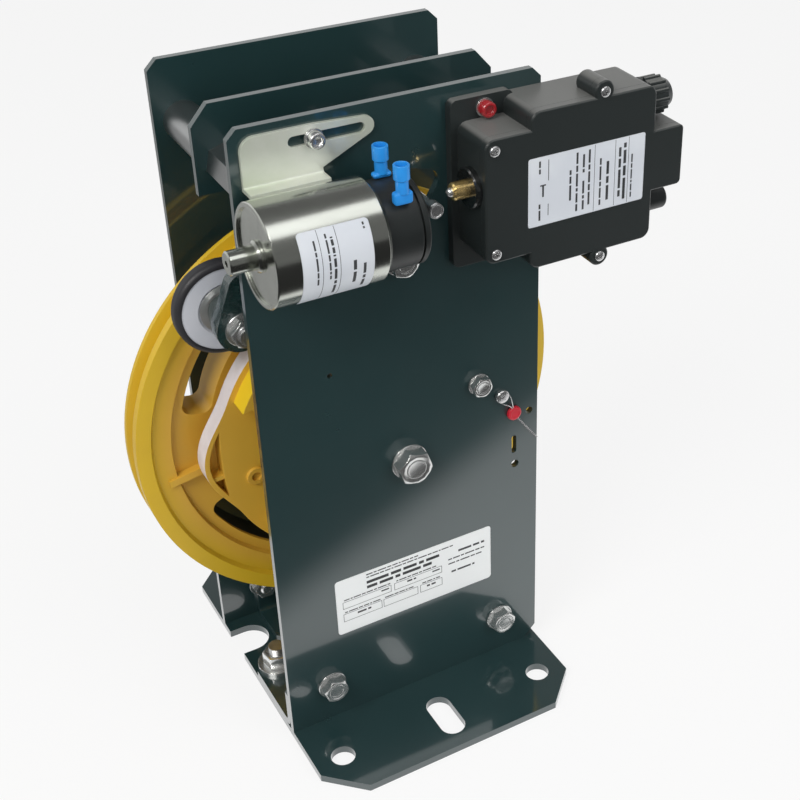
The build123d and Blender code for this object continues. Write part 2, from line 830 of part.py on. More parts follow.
with BuildPart() as cam_wheel:
    with BuildSketch(facing(cam_rear)):
        with BuildLine():
            for k in range(4):
                middle = lobe_angle + 90 * k
                offsets = [lobe_half_width * step / 6 for step in range(-6, 7)]
                points = [polar(cam_radius(d), middle + d, 0, axle_z) for d in offsets]
                first = middle - lobe_half_width
                last = middle + lobe_half_width
                leave = (-sin(radians(first)), cos(radians(first)))
                arrive = (-sin(radians(last)), cos(radians(last)))
                Spline(*points, tangents=(leave, arrive))
                CenterArc((0, axle_z), cam_base_radius, last, 90 - 2 * lobe_half_width)
        make_face()
        with Locations((0, axle_z)):
            Circle(spigot_radius + spigot_fit, mode=Mode.SUBTRACT)
    extrude(amount=cam_rear - cam_front)
    for k in range(4):
        middle = lobe_angle + 90 * k
        with BuildSketch(facing(cam_rear - lobe_pocket_floor)) as pocket:
            with BuildLine():
                steps = [lobe_pocket_half * step / 4 for step in range(-4, 5)]
                rim = [polar(cam_radius(d) - lobe_wall, middle + d, 0, axle_z) for d in steps]
                Spline(*rim)
                floor = polar(cam_base_radius - 0.8, middle, 0, axle_z)
                ThreePointArc(rim[0], floor, rim[-1])
            make_face()
        extrude(amount=cam_rear - cam_front, mode=Mode.SUBTRACT)
        with BuildSketch(facing(cam_rear - lobe_pocket_floor)):
            angle = middle + lobe_rib_offset
            reach = cam_radius(lobe_rib_offset) - lobe_wall / 2 - cam_base_radius + 1
            with Locations(polar(cam_base_radius - 1 + reach / 2, angle, 0, axle_z)):
                Rectangle(reach, lobe_rib_width, rotation=angle)
        extrude(amount=cam_rear - lobe_pocket_floor - cam_front - 1)
    with BuildSketch(facing(cam_rear)):
        with Locations((0, axle_z)):
            Circle(rear_recess_outer)
            Circle(rear_recess_inner, mode=Mode.SUBTRACT)
    extrude(amount=rear_recess_depth, mode=Mode.SUBTRACT)
    with BuildSketch(facing(cam_front)):
        with Locations((0, axle_z)):
            Circle(ratchet_hub_radius)
            Circle(spigot_radius + spigot_fit, mode=Mode.SUBTRACT)
    extrude(amount=cam_front - ratchet_front)
    for k in range(4):
        end = tooth_end_angle + 90 * k
        start = end - tooth_sweep
        with BuildSketch(facing(cam_front)):
            with BuildLine():
                root = ratchet_hub_radius - 1
                hook = polar(tooth_radius - tooth_hook_depth, end - tooth_hook_angle, 0, axle_z)
                CenterArc((0, axle_z), tooth_radius, start, tooth_sweep)
                Polyline(
                    polar(tooth_radius, end, 0, axle_z),
                    hook,
                    polar(tooth_radius - 3 * tooth_hook_depth, end - 1, 0, axle_z),
                    polar(root, end - 2, 0, axle_z),
                    polar(root, start + 2, 0, axle_z),
                    polar(tooth_radius, start, 0, axle_z),
                )
            make_face()
        extrude(amount=cam_front - ratchet_front)
        with BuildSketch(facing(cam_rear + 1)):
            with Locations(polar(cam_screw_circle, cam_screw_angle + 90 * k, 0, axle_z)):
                Circle(cam_screw_radius + hole_clearance)
        extrude(amount=cam_rear - cam_front + 2, mode=Mode.SUBTRACT)
save(cam_wheel.part, "cam_wheel")

with BuildPart() as cam_screws:
    for k in range(4):
        place = polar(cam_screw_circle, cam_screw_angle + 90 * k, 0, axle_z)
        with BuildSketch(facing(cam_front)):
            with Locations(place):
                Circle(cam_screw_head)
        extrude(amount=cam_screw_head_height, taper=12)
        with BuildSketch(facing(cam_front - cam_screw_head_height)):
            with Locations(place):
                Circle(cam_screw_recess)
        extrude(amount=-cam_screw_head_height, mode=Mode.SUBTRACT)
        with BuildSketch(facing(cam_front + cam_screw_length - 1)):
            with Locations(place):
                Circle(cam_screw_radius)
        extrude(amount=cam_screw_length - 1)
save(cam_screws.part, "cam_screws")


# Pivot shaft of the rocker, cantilevered from the front plate, with its bolt and end ring
collar_rear = -inside_half + pivot_collar_height
with BuildPart() as pivot_shaft:
    with BuildSketch(facing(collar_rear)):
        with Locations((0, pivot_z)):
            Circle(pivot_collar_radius)
    extrude(amount=pivot_collar_height)
    with BuildSketch(facing(pivot_end)):
        with Locations((0, pivot_z)):
            Circle(pivot_radius)
    extrude(amount=pivot_end - collar_rear)
    chamfer(pivot_shaft.edges().group_by(Axis.Y)[-1], length=0.8)
    with BuildSketch(facing(-inside_half + pivot_bolt_depth)):
        with Locations((0, pivot_z)):
            Circle(pivot_bolt_radius + thread_clearance)
    extrude(amount=pivot_bolt_depth, mode=Mode.SUBTRACT)
save(pivot_shaft.part, "pivot_shaft")

save(ring(0, pivot_z, clip_rear, clip_front, clip_radius, pivot_radius + thread_clearance), "pivot_clip")
pivot_bolt = flange_bolt(0, pivot_z, -outside_half, -1, side_bolt_flange, side_bolt_flats,
                         side_bolt_head, pivot_bolt_radius, plate_thickness + pivot_bolt_depth - 2)
save(pivot_bolt, "pivot_bolt")


# Rocker arm: hub, roller arm, pawl arm, lug for the trip pin and lug for the spring
bush_outer = pivot_radius + running_fit + bush_wall
boss_seat = roller_front - roller_tyre_overhang - 0.2
with BuildPart() as rocker_arm:
    outlines = [
        [(0, pivot_z, rocker_hub_radius + 4), (roller_x, roller_z, roller_boss_front_radius),
         (arm_top_x, arm_top_z, arm_top_radius)],
        [(0, pivot_z, rocker_hub_radius + 2), (pawl_arm_x, pawl_arm_z, pawl_arm_radius)],
        [(0, pivot_z, rocker_hub_radius), (trip_pin_x, trip_pin_z, trip_lug_radius)],
        [(-30, pivot_z - 14, 12), (spring_post_x, spring_post_z, spring_lug_radius)],
    ]
    for outline in outlines:
        with BuildSketch(facing(rocker_rear)):
            for x, z, radius in outline:
                with Locations((x, z)):
                    Circle(radius)
            make_hull()
        extrude(amount=rocker_rear - rocker_front)
    with BuildSketch(facing(rocker_hub_rear)):
        with Locations((0, pivot_z)):
            Circle(rocker_hub_radius)
    extrude(amount=rocker_hub_rear - rocker_hub_front)
    with BuildSketch(Plane.XY.offset(roller_z)):
        with BuildLine():
            Polyline(
                (roller_x, rocker_rear),
                (roller_x + roller_boss_front_radius, rocker_rear),
                (roller_x + roller_boss_rear_radius, boss_seat),
                (roller_x, boss_seat),
                close=True,
            )
        make_face()
    revolve(axis=Axis((roller_x, 0, roller_z), (0, 1, 0)))
    with BuildSketch(facing(rocker_hub_rear)):
        with Locations((0, pivot_z)):
            Circle(bush_outer)
    extrude(amount=rocker_hub_rear - rocker_hub_front, mode=Mode.SUBTRACT)
    with BuildSketch(facing(boss_seat + 1)):
        with Locations((roller_x, roller_z)):
            Circle(roller_pin_radius)
    extrude(amount=boss_seat + 1 - rocker_front, mode=Mode.SUBTRACT)
    with BuildSketch(facing(rocker_rear)):
        with Locations((trip_pin_x, trip_pin_z)):
            Circle(trip_pin_radius)
        with Locations((spring_post_x, spring_post_z)):
            Circle(spring_pin_radius)
        with Locations(*pawl_screw_places):
            Circle(pawl_screw_radius + hole_clearance)
    extrude(amount=rocker_rear - rocker_front, mode=Mode.SUBTRACT)
save(rocker_arm.part, "rocker_arm")

save(ring(0, pivot_z, rocker_hub_rear, rocker_hub_front, bush_outer, pivot_radius + running_fit),
     "pivot_bush")

with BuildPart() as trip_pin:
    for rear, front, radius in (
        (rocker_rear, trip_pin_neck, trip_pin_radius),
        (trip_pin_neck, trip_pin_end, trip_pin_head),
        (rocker_front, rocker_front - 3, trip_pin_head + 1),
    ):
        with BuildSketch(facing(rear)):
            with Locations((trip_pin_x, trip_pin_z)):
                Circle(radius)
        extrude(amount=rear - front)
    chamfer(trip_pin.edges().group_by(Axis.Y)[0], length=0.8)
save(trip_pin.part, "trip_pin")


# Hardened pawl on the rear of the pawl arm, with two screws
pawl_outline = [(64, 286), (92, 286), (99, 250), (93.4, 229.4), (87.0, 233.4), (82.4, 253.0), (64, 266)]
with BuildPart() as pawl:
    with BuildSketch(facing(pawl_rear)):
        with BuildLine():
            Polyline(*pawl_outline, close=True)
        make_face()
    extrude(amount=pawl_rear - rocker_rear)
    with BuildSketch(facing(rocker_rear + pawl_screw_depth)):
        with Locations(*pawl_screw_places):
            Circle(pawl_screw_radius + thread_clearance)
    extrude(amount=pawl_screw_depth, mode=Mode.SUBTRACT)
save(pawl.part, "pawl")

with BuildPart() as pawl_screws:
    with BuildSketch(facing(rocker_rear + pawl_screw_depth - 1)):
        with Locations(*pawl_screw_places):
            Circle(pawl_screw_radius)
    extrude(amount=rocker_rear + pawl_screw_depth - 1 - rocker_front)
    with BuildSketch(facing(rocker_front)):
        with Locations(*pawl_screw_places):
            Circle(pawl_screw_head)
            RegularPolygon(2.5, 6, mode=Mode.SUBTRACT)
    extrude(amount=pawl_screw_head_height)
save(pawl_screws.part, "pawl_screws")


# Roller: rubber tyre on a plastic hub with a ball bearing, on a pin with a flanged nut
inner_front = roller_front - roller_tyre_overhang
inner_rear = roller_rear + roller_tyre_overhang
with BuildPart() as roller_tyre:
    with BuildSketch(facing(roller_rear)):
        with Locations((roller_x, roller_z)):
            Circle(roller_radius)
            Circle(roller_hub_radius, mode=Mode.SUBTRACT)
    extrude(amount=roller_rear - roller_front)
    treads = roller_tyre.edges().filter_by(GeomType.CIRCLE).sort_by(SortBy.RADIUS)[-2:]
    fillet(treads, radius=roller_shoulder)
save(roller_tyre.part, "roller_tyre")

with BuildPart() as roller_hub:
    with BuildSketch(Plane.XY.offset(roller_z)):
        with BuildLine():
            Polyline(
                (roller_x + roller_bearing_radius, roller_rear),
                (roller_x + roller_hub_radius, roller_rear),
                (roller_x + roller_hub_radius, roller_front + 0.3),
                (roller_x + roller_bearing_radius + 1.2, roller_front),
                (roller_x + roller_bearing_radius, roller_front + 1.2),
                close=True,
            )
        make_face()
    revolve(axis=Axis((roller_x, 0, roller_z), (0, 1, 0)))
save(roller_hub.part, "roller_hub")

pin_bore = roller_pin_radius + running_fit
save(ring(roller_x, roller_z, roller_rear - 0.4, roller_front + 0.4, roller_bearing_radius, pin_bore),
     "roller_bearing")

pin_rear = roller_rear + roller_pin_head_height
with BuildPart() as roller_pin:
    with BuildSketch(facing(pin_rear)):
        with Locations((roller_x, roller_z)):
            Circle(roller_pin_head)
    extrude(amount=roller_pin_head_height - end_play)
    with BuildSketch(facing(pin_rear - 1)):
        with Locations((roller_x, roller_z)):
            Circle(roller_pin_radius)
    extrude(amount=pin_rear - 1 - rocker_front + roller_nut_height + 1.5)
save(roller_pin.part, "roller_pin")

save(flange_nut(roller_x, roller_z, rocker_front, -1, roller_nut_flange, roller_nut_flats,
                roller_nut_height, roller_pin_radius + thread_clearance), "roller_nut")


# Tension spring between a post on the rocker and an anchor on the front plate
with BuildPart() as spring_post:
    for rear, front, radius in (
        (rocker_rear, spring_y - 2.5, spring_pin_radius),
        (spring_y - 2.5, spring_y - 4, spring_pin_head),
    ):
        with BuildSketch(facing(rear)):
            with Locations((spring_post_x, spring_post_z)):
                Circle(radius)
        extrude(amount=rear - front)
save(spring_post.part, "spring_post")

collar_top = -inside_half + anchor_collar_height
with BuildPart() as spring_anchor:
    for rear, front, radius in (
        (collar_top, -inside_half, anchor_collar_radius),
        (spring_y + 2.5, collar_top, spring_pin_radius),
        (spring_y + 4, spring_y + 2.5, spring_pin_head),
    ):
        with BuildSketch(facing(rear)):
            with Locations((spring_anchor_x, spring_anchor_z)):
                Circle(radius)
        extrude(amount=rear - front)
    with BuildSketch(facing(collar_top - 1.5)):
        with Locations((spring_anchor_x, spring_anchor_z)):
            Circle(anchor_bolt_radius + thread_clearance)
    extrude(amount=anchor_collar_height, mode=Mode.SUBTRACT)
save(spring_anchor.part, "spring_anchor")
anchor_bolt = flange_bolt(spring_anchor_x, spring_anchor_z, -outside_half, -1, anchor_bolt_flange,
                          anchor_bolt_flats, anchor_bolt_head, anchor_bolt_radius,
                          plate_thickness + anchor_collar_height - 2.5)
save(anchor_bolt, "anchor_bolt")

spring_run = Vector(spring_post_x - spring_anchor_x, 0, spring_post_z - spring_anchor_z)
spring_start = Vector(spring_anchor_x, spring_y, spring_anchor_z)
loop_radius = spring_pin_radius + spring_wire + 0.3
coil_start = loop_radius + 7
coil_length = spring_run.length - 2 * coil_start
along = Plane(origin=spring_start, x_dir=(0, 1, 0), z_dir=spring_run)
with BuildPart() as rocker_spring:
    with BuildSketch(along.offset(coil_start)):
        Circle(spring_radius)
        Circle(spring_radius - 2 * spring_wire, mode=Mode.SUBTRACT)
    extrude(amount=coil_length)
    for end in (0, 1):
        with BuildSketch(along.offset(coil_start + end * (coil_length - 1.5))):
            Circle(spring_radius)
        extrude(amount=1.5)
        with BuildSketch(along.offset(loop_radius if end == 0 else coil_start + coil_length)):
            Circle(spring_wire)
        extrude(amount=coil_start - loop_radius)
    for x, z in ((spring_anchor_x, spring_anchor_z), (spring_post_x, spring_post_z)):
        with BuildSketch(Plane.XY.offset(z)):
            with Locations((x + loop_radius, spring_y)):
                Circle(spring_wire)
        revolve(axis=Axis((x, 0, z), (0, 1, 0)))
save(rocker_spring.part, "rocker_spring")


# Sealed adjusting screw, plastic seal and its short wire on the front plate
with BuildPart() as seal_screw:
    with BuildSketch(facing(-outside_half)):
        with Locations((seal_screw_x, seal_screw_z)):
            Circle(4.2)
    extrude(amount=3.2)
    with BuildSketch(facing(-inside_half + 6)):
        with Locations((seal_screw_x, seal_screw_z)):
            Circle(trip_rod_radius)
    extrude(amount=plate_thickness + 6)
    with BuildSketch(facing(-outside_half - 3.2)):
        with Locations((seal_screw_x, seal_screw_z)):
            Rectangle(10, 1.1, rotation=35)
    extrude(amount=-1.2, mode=Mode.SUBTRACT)
save(seal_screw.part, "seal_screw")

with BuildPart() as wire_seal:
    with BuildSketch(facing(-outside_half)):
        with Locations((seal_x, seal_z)):
            Circle(3.6)
    extrude(amount=2.6)
    fillet(wire_seal.edges().group_by(Axis.Y)[0], radius=0.8)
save(wire_seal.part, "wire_seal")

wire_y = -outside_half - seal_wire_radius - 0.1
with BuildPart() as seal_wire:
    with BuildLine() as wire_run:
        Spline(
            (seal_screw_x + 4.9, wire_y, seal_screw_z - 1.5),
            (seal_screw_x + 6.4, wire_y - 1.2, seal_screw_z - 4),
            (seal_x + 2.6, wire_y - 0.6, seal_z + 6.5),
            (seal_x + 1.2, wire_y, seal_z + 3.9),
        )
    with BuildSketch(Plane(origin=wire_run.line @ 0, z_dir=wire_run.line % 0)):
        Circle(seal_wire_radius)
    sweep(path=wire_run.line)
save(seal_wire.part, "seal_wire")


# Solenoid can with a rolled rim and a bore for the plunger
plunger_bore = plunger_radius + plunger_fit
rod_bore = trip_rod_radius + plunger_fit
about_solenoid = Axis((0, solenoid_y, solenoid_z), (1, 0, 0))
with BuildPart() as solenoid_can:
    with BuildSketch(Plane.XY.offset(solenoid_z)):
        with BuildLine():
            Polyline(
                (can_left + can_rim, solenoid_y + plunger_bore),
                (can_left - can_rim, solenoid_y + plunger_bore),
                (can_left - can_rim, solenoid_y + can_boss_radius - 1),
                (can_left, solenoid_y + can_boss_radius),
                (can_left + can_rim, solenoid_y + can_boss_radius),
                (can_left + can_rim, solenoid_y + can_radius - 2 * can_rim),
                (can_left, solenoid_y + can_radius - 2 * can_rim),
                (can_left, solenoid_y + can_radius - 0.6),
                (can_left + 0.6, solenoid_y + can_radius),
                (can_right - 2.2, solenoid_y + can_radius),
                (can_right, solenoid_y + can_radius - 2.2),
                (can_right, solenoid_y + plunger_bore),
                close=True,
            )
        make_face()
    revolve(axis=about_solenoid)
save(solenoid_can.part, "solenoid_can")

with BuildPart() as solenoid_plunger:
    for start, end, radius in (
        (plunger_left, can_right - plunger_stroke - 1, plunger_radius),
        (can_right - plunger_stroke - 1, trip_rod_end, trip_rod_radius),
    ):
        with BuildSketch(Plane.YZ.offset(start)):
            with Locations((solenoid_y, solenoid_z)):
                Circle(radius)
        extrude(amount=end - start)
    chamfer(solenoid_plunger.edges().group_by(Axis.X)[-1], length=0.6)
    chamfer(solenoid_plunger.edges().group_by(Axis.X)[0], length=0.8)
    with BuildSketch(Plane.YZ.offset(plunger_left)):
        with Locations((solenoid_y, solenoid_z)):
            Circle(plunger_recess_radius)
    extrude(amount=plunger_recess, mode=Mode.SUBTRACT)
save(solenoid_plunger.part, "solenoid_plunger")


# Black terminal cap of the solenoid with a groove, and two insulated push-on connectors
with BuildPart() as solenoid_cap:
    with BuildSketch(Plane.XY.offset(solenoid_z)):
        with BuildLine():
            Polyline(
                (can_right, solenoid_y + plunger_bore),
                (can_right, solenoid_y + cap_radius),
                (cap_right - 4.6, solenoid_y + cap_radius),
                (cap_right - 4.6, solenoid_y + cap_radius - 1.2),
                (cap_right - 3.4, solenoid_y + cap_radius - 1.2),
                (cap_right - 3.4, solenoid_y + cap_radius),
                (cap_right - 1, solenoid_y + cap_radius),
                (cap_right, solenoid_y + cap_radius - 1),
                (cap_right, solenoid_y + rod_bore),
                (cap_right - 4, solenoid_y + rod_bore),
                (cap_right - 4, solenoid_y + plunger_bore),
                close=True,
            )
        make_face()
    revolve(axis=about_solenoid)
save(solenoid_cap.part, "solenoid_cap")

with BuildPart() as cable_connectors:
    for y, foot, top in (
        (connector_rear_y, connector_rear_foot, connector_rear_top),
        (connector_front_y, connector_front_foot, connector_front_top),
    ):
        with BuildSketch(Plane.XY.offset(foot)):
            with Locations((connector_x, y)):
                RectangleRounded(connector_foot_width, connector_foot_depth, 2)
        extrude(amount=3)
        with BuildSketch(Plane.XY.offset(foot + 3)):
            with Locations((connector_x, y)):
                RectangleRounded(connector_foot_width, connector_foot_depth, 2)
        with BuildSketch(Plane.XY.offset(foot + 8)):
            with Locations((connector_x, y)):
                Circle(connector_neck_radius)
        loft()
        with BuildSketch(Plane.XY.offset(foot + 8)):
            with Locations((connector_x, y)):
                Circle(connector_neck_radius)
        with BuildSketch(Plane.XY.offset(top)):
            with Locations((connector_x, y)):
                Circle(connector_top_radius)
        loft()
save(cable_connectors.part, "cable_connectors")


# Zinc-plated bracket: upright plate with a slotted finger and a shelf against the can
bracket_rear = -outside_half
bracket_front = bracket_rear - bracket_thickness
finger_x = bracket_finger_end - bracket_finger_radius
finger_low = polar(bracket_finger_radius, -66, finger_x, bracket_finger_z)
with BuildPart() as solenoid_bracket:
    with BuildSketch(facing(bracket_rear)) as outline:
        with BuildLine():
            Polyline(
                (bracket_left, bracket_bottom),
                (bracket_right, bracket_bottom),
                (bracket_right, bracket_knee_z),
                finger_low,
                (finger_x, bracket_finger_z + bracket_finger_radius),
                (bracket_right - 4, bracket_top),
                (bracket_left, bracket_top),
                close=True,
            )
        make_face()
        with Locations((finger_x, bracket_finger_z)):
            Circle(bracket_finger_radius)
        slot_middle = (bracket_slot_left + bracket_slot_right) / 2
        with Locations((slot_middle, bracket_slot_z)):
            SlotOverall(bracket_slot_right - bracket_slot_left, bracket_slot_width, mode=Mode.SUBTRACT)
    extrude(amount=bracket_thickness)
    corner = solenoid_bracket.edges().filter_by(Axis.Y).group_by(Axis.Z)[-1].sort_by(Axis.X)[0]
    fillet(corner, radius=8)
    with BuildSketch(facing(bracket_rear)):
        with Locations(((bracket_left + bracket_right) / 2, bracket_bottom + bracket_thickness / 2)):
            Rectangle(bracket_right - bracket_left, bracket_thickness)
    extrude(amount=bracket_shelf)
    inner_bend = solenoid_bracket.edges().filter_by(Axis.X).sort_by_distance(
        ((bracket_left + bracket_right) / 2, bracket_front, bracket_bottom + bracket_thickness))[0]
    fillet(inner_bend, radius=1)
save(solenoid_bracket.part, "solenoid_bracket")


# Small screws and washers of the bracket and of the switch flange
flange_front = -outside_half - flange_thickness
screw_sets = {
    "bracket_screw": [(bracket_screw_x, bracket_slot_z, bracket_front)],
    "switch_screws": [(flange_screw_x, flange_screw_z, flange_front),
                      (flange_screw_x, flange_screw_low_z, flange_front)],
}
for label, places in screw_sets.items():
    with BuildPart() as screws:
        for x, z, seat in places:
            under_head = seat - small_washer_thickness
            with BuildSketch(facing(under_head)):
                with Locations((x, z)):
                    Circle(small_screw_head)
            extrude(amount=small_screw_head_height)
            with BuildSketch(facing(under_head - small_screw_head_height)):
                with Locations((x, z)):
                    RegularPolygon(2.4, 6)
            extrude(amount=-2.4, mode=Mode.SUBTRACT)
            with BuildSketch(facing(small_screw_end)):
                with Locations((x, z)):
                    Circle(small_screw_radius)
            extrude(amount=small_screw_end - under_head)
    save(screws.part, label)
with BuildPart() as small_washers:
    for places in screw_sets.values():
        for x, z, seat in places:
            with BuildSketch(facing(seat)):
                with Locations((x, z)):
                    Circle(small_washer_radius)
                    Circle(small_screw_radius + hole_clearance, mode=Mode.SUBTRACT)
            extrude(amount=small_washer_thickness)
save(small_washers.part, "small_washers")


# Switch housing and cover share one outline: body, left lobe, right tab and two short screw ears
def box_outline(with_ears):
    with BuildSketch() as outline:
        with Locations(((box_left + box_right) / 2, (box_bottom + box_top) / 2)):
            RectangleRounded(box_right - box_left, box_top - box_bottom, box_corner)
        with Locations(((lobe_left + box_left + 12) / 2, (lobe_bottom + lobe_top) / 2)):
            RectangleRounded(box_left + 12 - lobe_left, lobe_top - lobe_bottom, box_corner)
        with Locations(((box_right - 12 + tab_right) / 2, (tab_bottom + tab_top) / 2)):
            RectangleRounded(tab_right - box_right + 12, tab_top - tab_bottom, box_corner / 2)
        if with_ears:
            with Locations((ear_x, ear_upper_z), (ear_x, ear_lower_z)):
                Circle(ear_radius)
    return outline.sketch


cover_screw_places = [(38.3, 368.2), (38.9, 311.2), (ear_x, ear_upper_z), (ear_x, ear_lower_z)]
body_shape = box_outline(False)
cover_shape = box_outline(True)
with BuildPart() as switch_housing:
    with BuildSketch(facing(-outside_half)):
        add(body_shape)
    extrude(amount=-outside_half - box_joint)
    with BuildSketch(facing(box_joint + ear_length)):
        with Locations((ear_x, ear_upper_z), (ear_x, ear_lower_z)):
            Circle(ear_radius)
    extrude(amount=ear_length)
    with BuildSketch(facing(-outside_half)):
        with Locations(((flange_left + box_left + 6) / 2, (flange_bottom + flange_top) / 2)):
            RectangleRounded(box_left + 6 - flange_left, flange_top - flange_bottom, 4)
    extrude(amount=flange_thickness)
    with BuildSketch(facing(-outside_half)):
        with Locations((flange_screw_x, flange_screw_z), (flange_screw_x, flange_screw_low_z)):
            Circle(small_screw_radius + hole_clearance)
    extrude(amount=flange_thickness, mode=Mode.SUBTRACT)
    with BuildSketch(facing(box_joint + cover_screw_depth)):
        with Locations(*cover_screw_places):
            Circle(cover_screw_radius + thread_clearance)
    extrude(amount=cover_screw_depth, mode=Mode.SUBTRACT)
    with BuildSketch(Plane.YZ.offset(lobe_left)):
        with Locations((switch_axis_y, switch_axis_z)):
            Circle(brass_radius + running_fit)
    extrude(amount=switch_travel_bore, mode=Mode.SUBTRACT)
    with BuildSketch(Plane.YZ.offset(box_right - gland_thread_length)):
        with Locations((gland_y, gland_z)):
            Circle(gland_thread_radius + thread_clearance)
    extrude(amount=gland_thread_length, mode=Mode.SUBTRACT)
    with BuildSketch(Plane.YZ.offset(box_right - gland_thread_length)):
        with Locations((plug_y, plug_z)):
            Circle(plug_radius - 1.5 + thread_clearance)
    extrude(amount=gland_thread_length, mode=Mode.SUBTRACT)
save(switch_housing.part, "switch_housing")

with BuildPart() as switch_cover:
    with BuildSketch(facing(box_joint)):
        add(cover_shape)
    extrude(amount=box_joint - box_front)
    chamfer(switch_cover.faces().sort_by(Axis.Y)[0].outer_wire().edges(), length=0.8)
    with BuildSketch(facing(box_joint)):
        with Locations(*cover_screw_places):
            Circle(cover_screw_radius + hole_clearance)
    extrude(amount=box_joint - box_front, mode=Mode.SUBTRACT)
save(switch_cover.part, "switch_cover")

with BuildPart() as cover_screws:
    with BuildSketch(facing(box_front)):
        with Locations(*cover_screw_places):
            Circle(cover_screw_head)
    extrude(amount=1.4, taper=10)
    with BuildSketch(facing(box_joint + cover_screw_depth - 1)):
        with Locations(*cover_screw_places):
            Circle(cover_screw_radius)
    extrude(amount=box_joint + cover_screw_depth - 1 - box_front)
save(cover_screws.part, "cover_screws")


# Round collar, brass plunger and steel ball of the switch
with BuildPart() as plunger_collar:
    with BuildSketch(Plane.YZ.offset(collar_left)):
        with Locations((switch_axis_y, switch_axis_z)):
            Circle(collar_radius)
            Circle(brass_radius + running_fit, mode=Mode.SUBTRACT)
    extrude(amount=lobe_left - collar_left)
    chamfer(plunger_collar.edges().group_by(Axis.X)[0].sort_by(SortBy.RADIUS)[-1], length=0.8)
save(plunger_collar.part, "plunger_collar")

ball_x = brass_left - ball_stand_out
with BuildPart() as switch_plunger:
    with BuildSketch(Plane.YZ.offset(brass_left)):
        with Locations((switch_axis_y, switch_axis_z)):
            Circle(brass_radius)
    extrude(amount=lobe_left + switch_travel_bore - brass_stroke - 1 - brass_left)
    chamfer(switch_plunger.edges().group_by(Axis.X)[0], length=0.9)
    with BuildSketch(Plane.YZ.offset(brass_left)):
        with Locations((switch_axis_y, switch_axis_z)):
            Circle(ball_radius + bearing_seat_fit)
    extrude(amount=ball_radius - ball_stand_out, mode=Mode.SUBTRACT)
save(switch_plunger.part, "switch_plunger")

with BuildPart() as plunger_ball:
    with Locations((ball_x, switch_axis_y, switch_axis_z)):
        Sphere(ball_radius)
save(plunger_ball.part, "plunger_ball")


# Cable gland with a ribbed cap nut, and a blanking plug below it
gland_seat = box_right
flange_end = gland_seat + gland_flange
nut_start = flange_end + 0.3
with BuildPart() as gland_body:
    with BuildSketch(Plane.YZ.offset(box_right - gland_thread_length + 1)):
        with Locations((gland_y, gland_z)):
            Circle(gland_thread_radius)
            Circle(gland_bore, mode=Mode.SUBTRACT)
    extrude(amount=gland_thread_length - 1 + gland_flange + 9)
    with BuildSketch(Plane.YZ.offset(gland_seat)):
        with Locations((gland_y, gland_z)):
            RegularPolygon(gland_cap_radius - 0.8, 6, major_radius=False)
            Circle(gland_thread_radius - 0.5, mode=Mode.SUBTRACT)
    extrude(amount=gland_flange)
save(gland_body.part, "gland_body")

with BuildPart() as gland_nut:
    with BuildSketch(Plane.YZ.offset(nut_start)) as nut_outline:
        with Locations((gland_y, gland_z)):
            Circle(gland_cap_radius - 0.6)
            with PolarLocations(gland_cap_radius - 0.6, 12):
                Circle(1.1)
    extrude(amount=gland_right - 4 - nut_start)
    with BuildSketch(Plane.YZ.offset(gland_right - 4)):
        with Locations((gland_y, gland_z)):
            Circle(gland_cap_radius - 0.6)
    extrude(amount=4, taper=28)
    with BuildSketch(Plane.YZ.offset(nut_start)):
        with Locations((gland_y, gland_z)):
            Circle(gland_thread_radius + thread_clearance)
    extrude(amount=gland_right - 5 - nut_start, mode=Mode.SUBTRACT)
    with BuildSketch(Plane.YZ.offset(nut_start)):
        with Locations((gland_y, gland_z)):
            Circle(gland_bore + 1)
    extrude(amount=gland_right - nut_start, mode=Mode.SUBTRACT)
save(gland_nut.part, "gland_nut")

with BuildPart() as blanking_plug:
    with BuildSketch(Plane.YZ.offset(box_right)):
        with Locations((plug_y, plug_z)):
            RegularPolygon(plug_radius + 1, 6, major_radius=False)
    extrude(amount=gland_flange)
    with BuildSketch(Plane.YZ.offset(box_right)):
        with Locations((plug_y, plug_z)):
            Circle(plug_radius)
    extrude(amount=plug_right - box_right)
    fillet(blanking_plug.edges().group_by(Axis.X)[-1], radius=2)
    with BuildSketch(Plane.YZ.offset(box_right - gland_thread_length + 1)):
        with Locations((plug_y, plug_z)):
            Circle(plug_radius - 1.5)
    extrude(amount=gland_thread_length - 1)
save(blanking_plug.part, "blanking_plug")
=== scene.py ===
import json
import math

import bmesh
import bpy
from mathutils import Matrix, Vector


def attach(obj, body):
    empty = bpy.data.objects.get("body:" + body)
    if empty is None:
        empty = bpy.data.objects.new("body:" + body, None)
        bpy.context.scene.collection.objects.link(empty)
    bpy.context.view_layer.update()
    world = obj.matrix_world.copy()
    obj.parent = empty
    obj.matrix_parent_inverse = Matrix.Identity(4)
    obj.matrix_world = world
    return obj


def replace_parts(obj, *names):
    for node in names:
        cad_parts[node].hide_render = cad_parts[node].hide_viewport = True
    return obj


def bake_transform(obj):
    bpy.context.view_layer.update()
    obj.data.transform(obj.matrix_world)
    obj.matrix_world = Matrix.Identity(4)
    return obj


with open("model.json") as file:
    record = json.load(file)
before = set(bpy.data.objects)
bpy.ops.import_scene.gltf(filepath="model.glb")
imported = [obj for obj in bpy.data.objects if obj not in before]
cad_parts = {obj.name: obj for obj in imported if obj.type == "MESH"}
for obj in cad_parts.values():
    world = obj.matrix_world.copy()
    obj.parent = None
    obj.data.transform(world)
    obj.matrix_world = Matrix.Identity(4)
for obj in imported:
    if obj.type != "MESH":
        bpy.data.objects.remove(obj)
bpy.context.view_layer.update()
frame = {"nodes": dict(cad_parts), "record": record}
nodes = frame["nodes"]

# A millimetre, and the distance at which two corners become one, in metres

MM = 0.001
MERGE = 2e-6

UP, FRONT, REAR = (0, 0, 1), (0, -1, 0), (0, 1, 0)

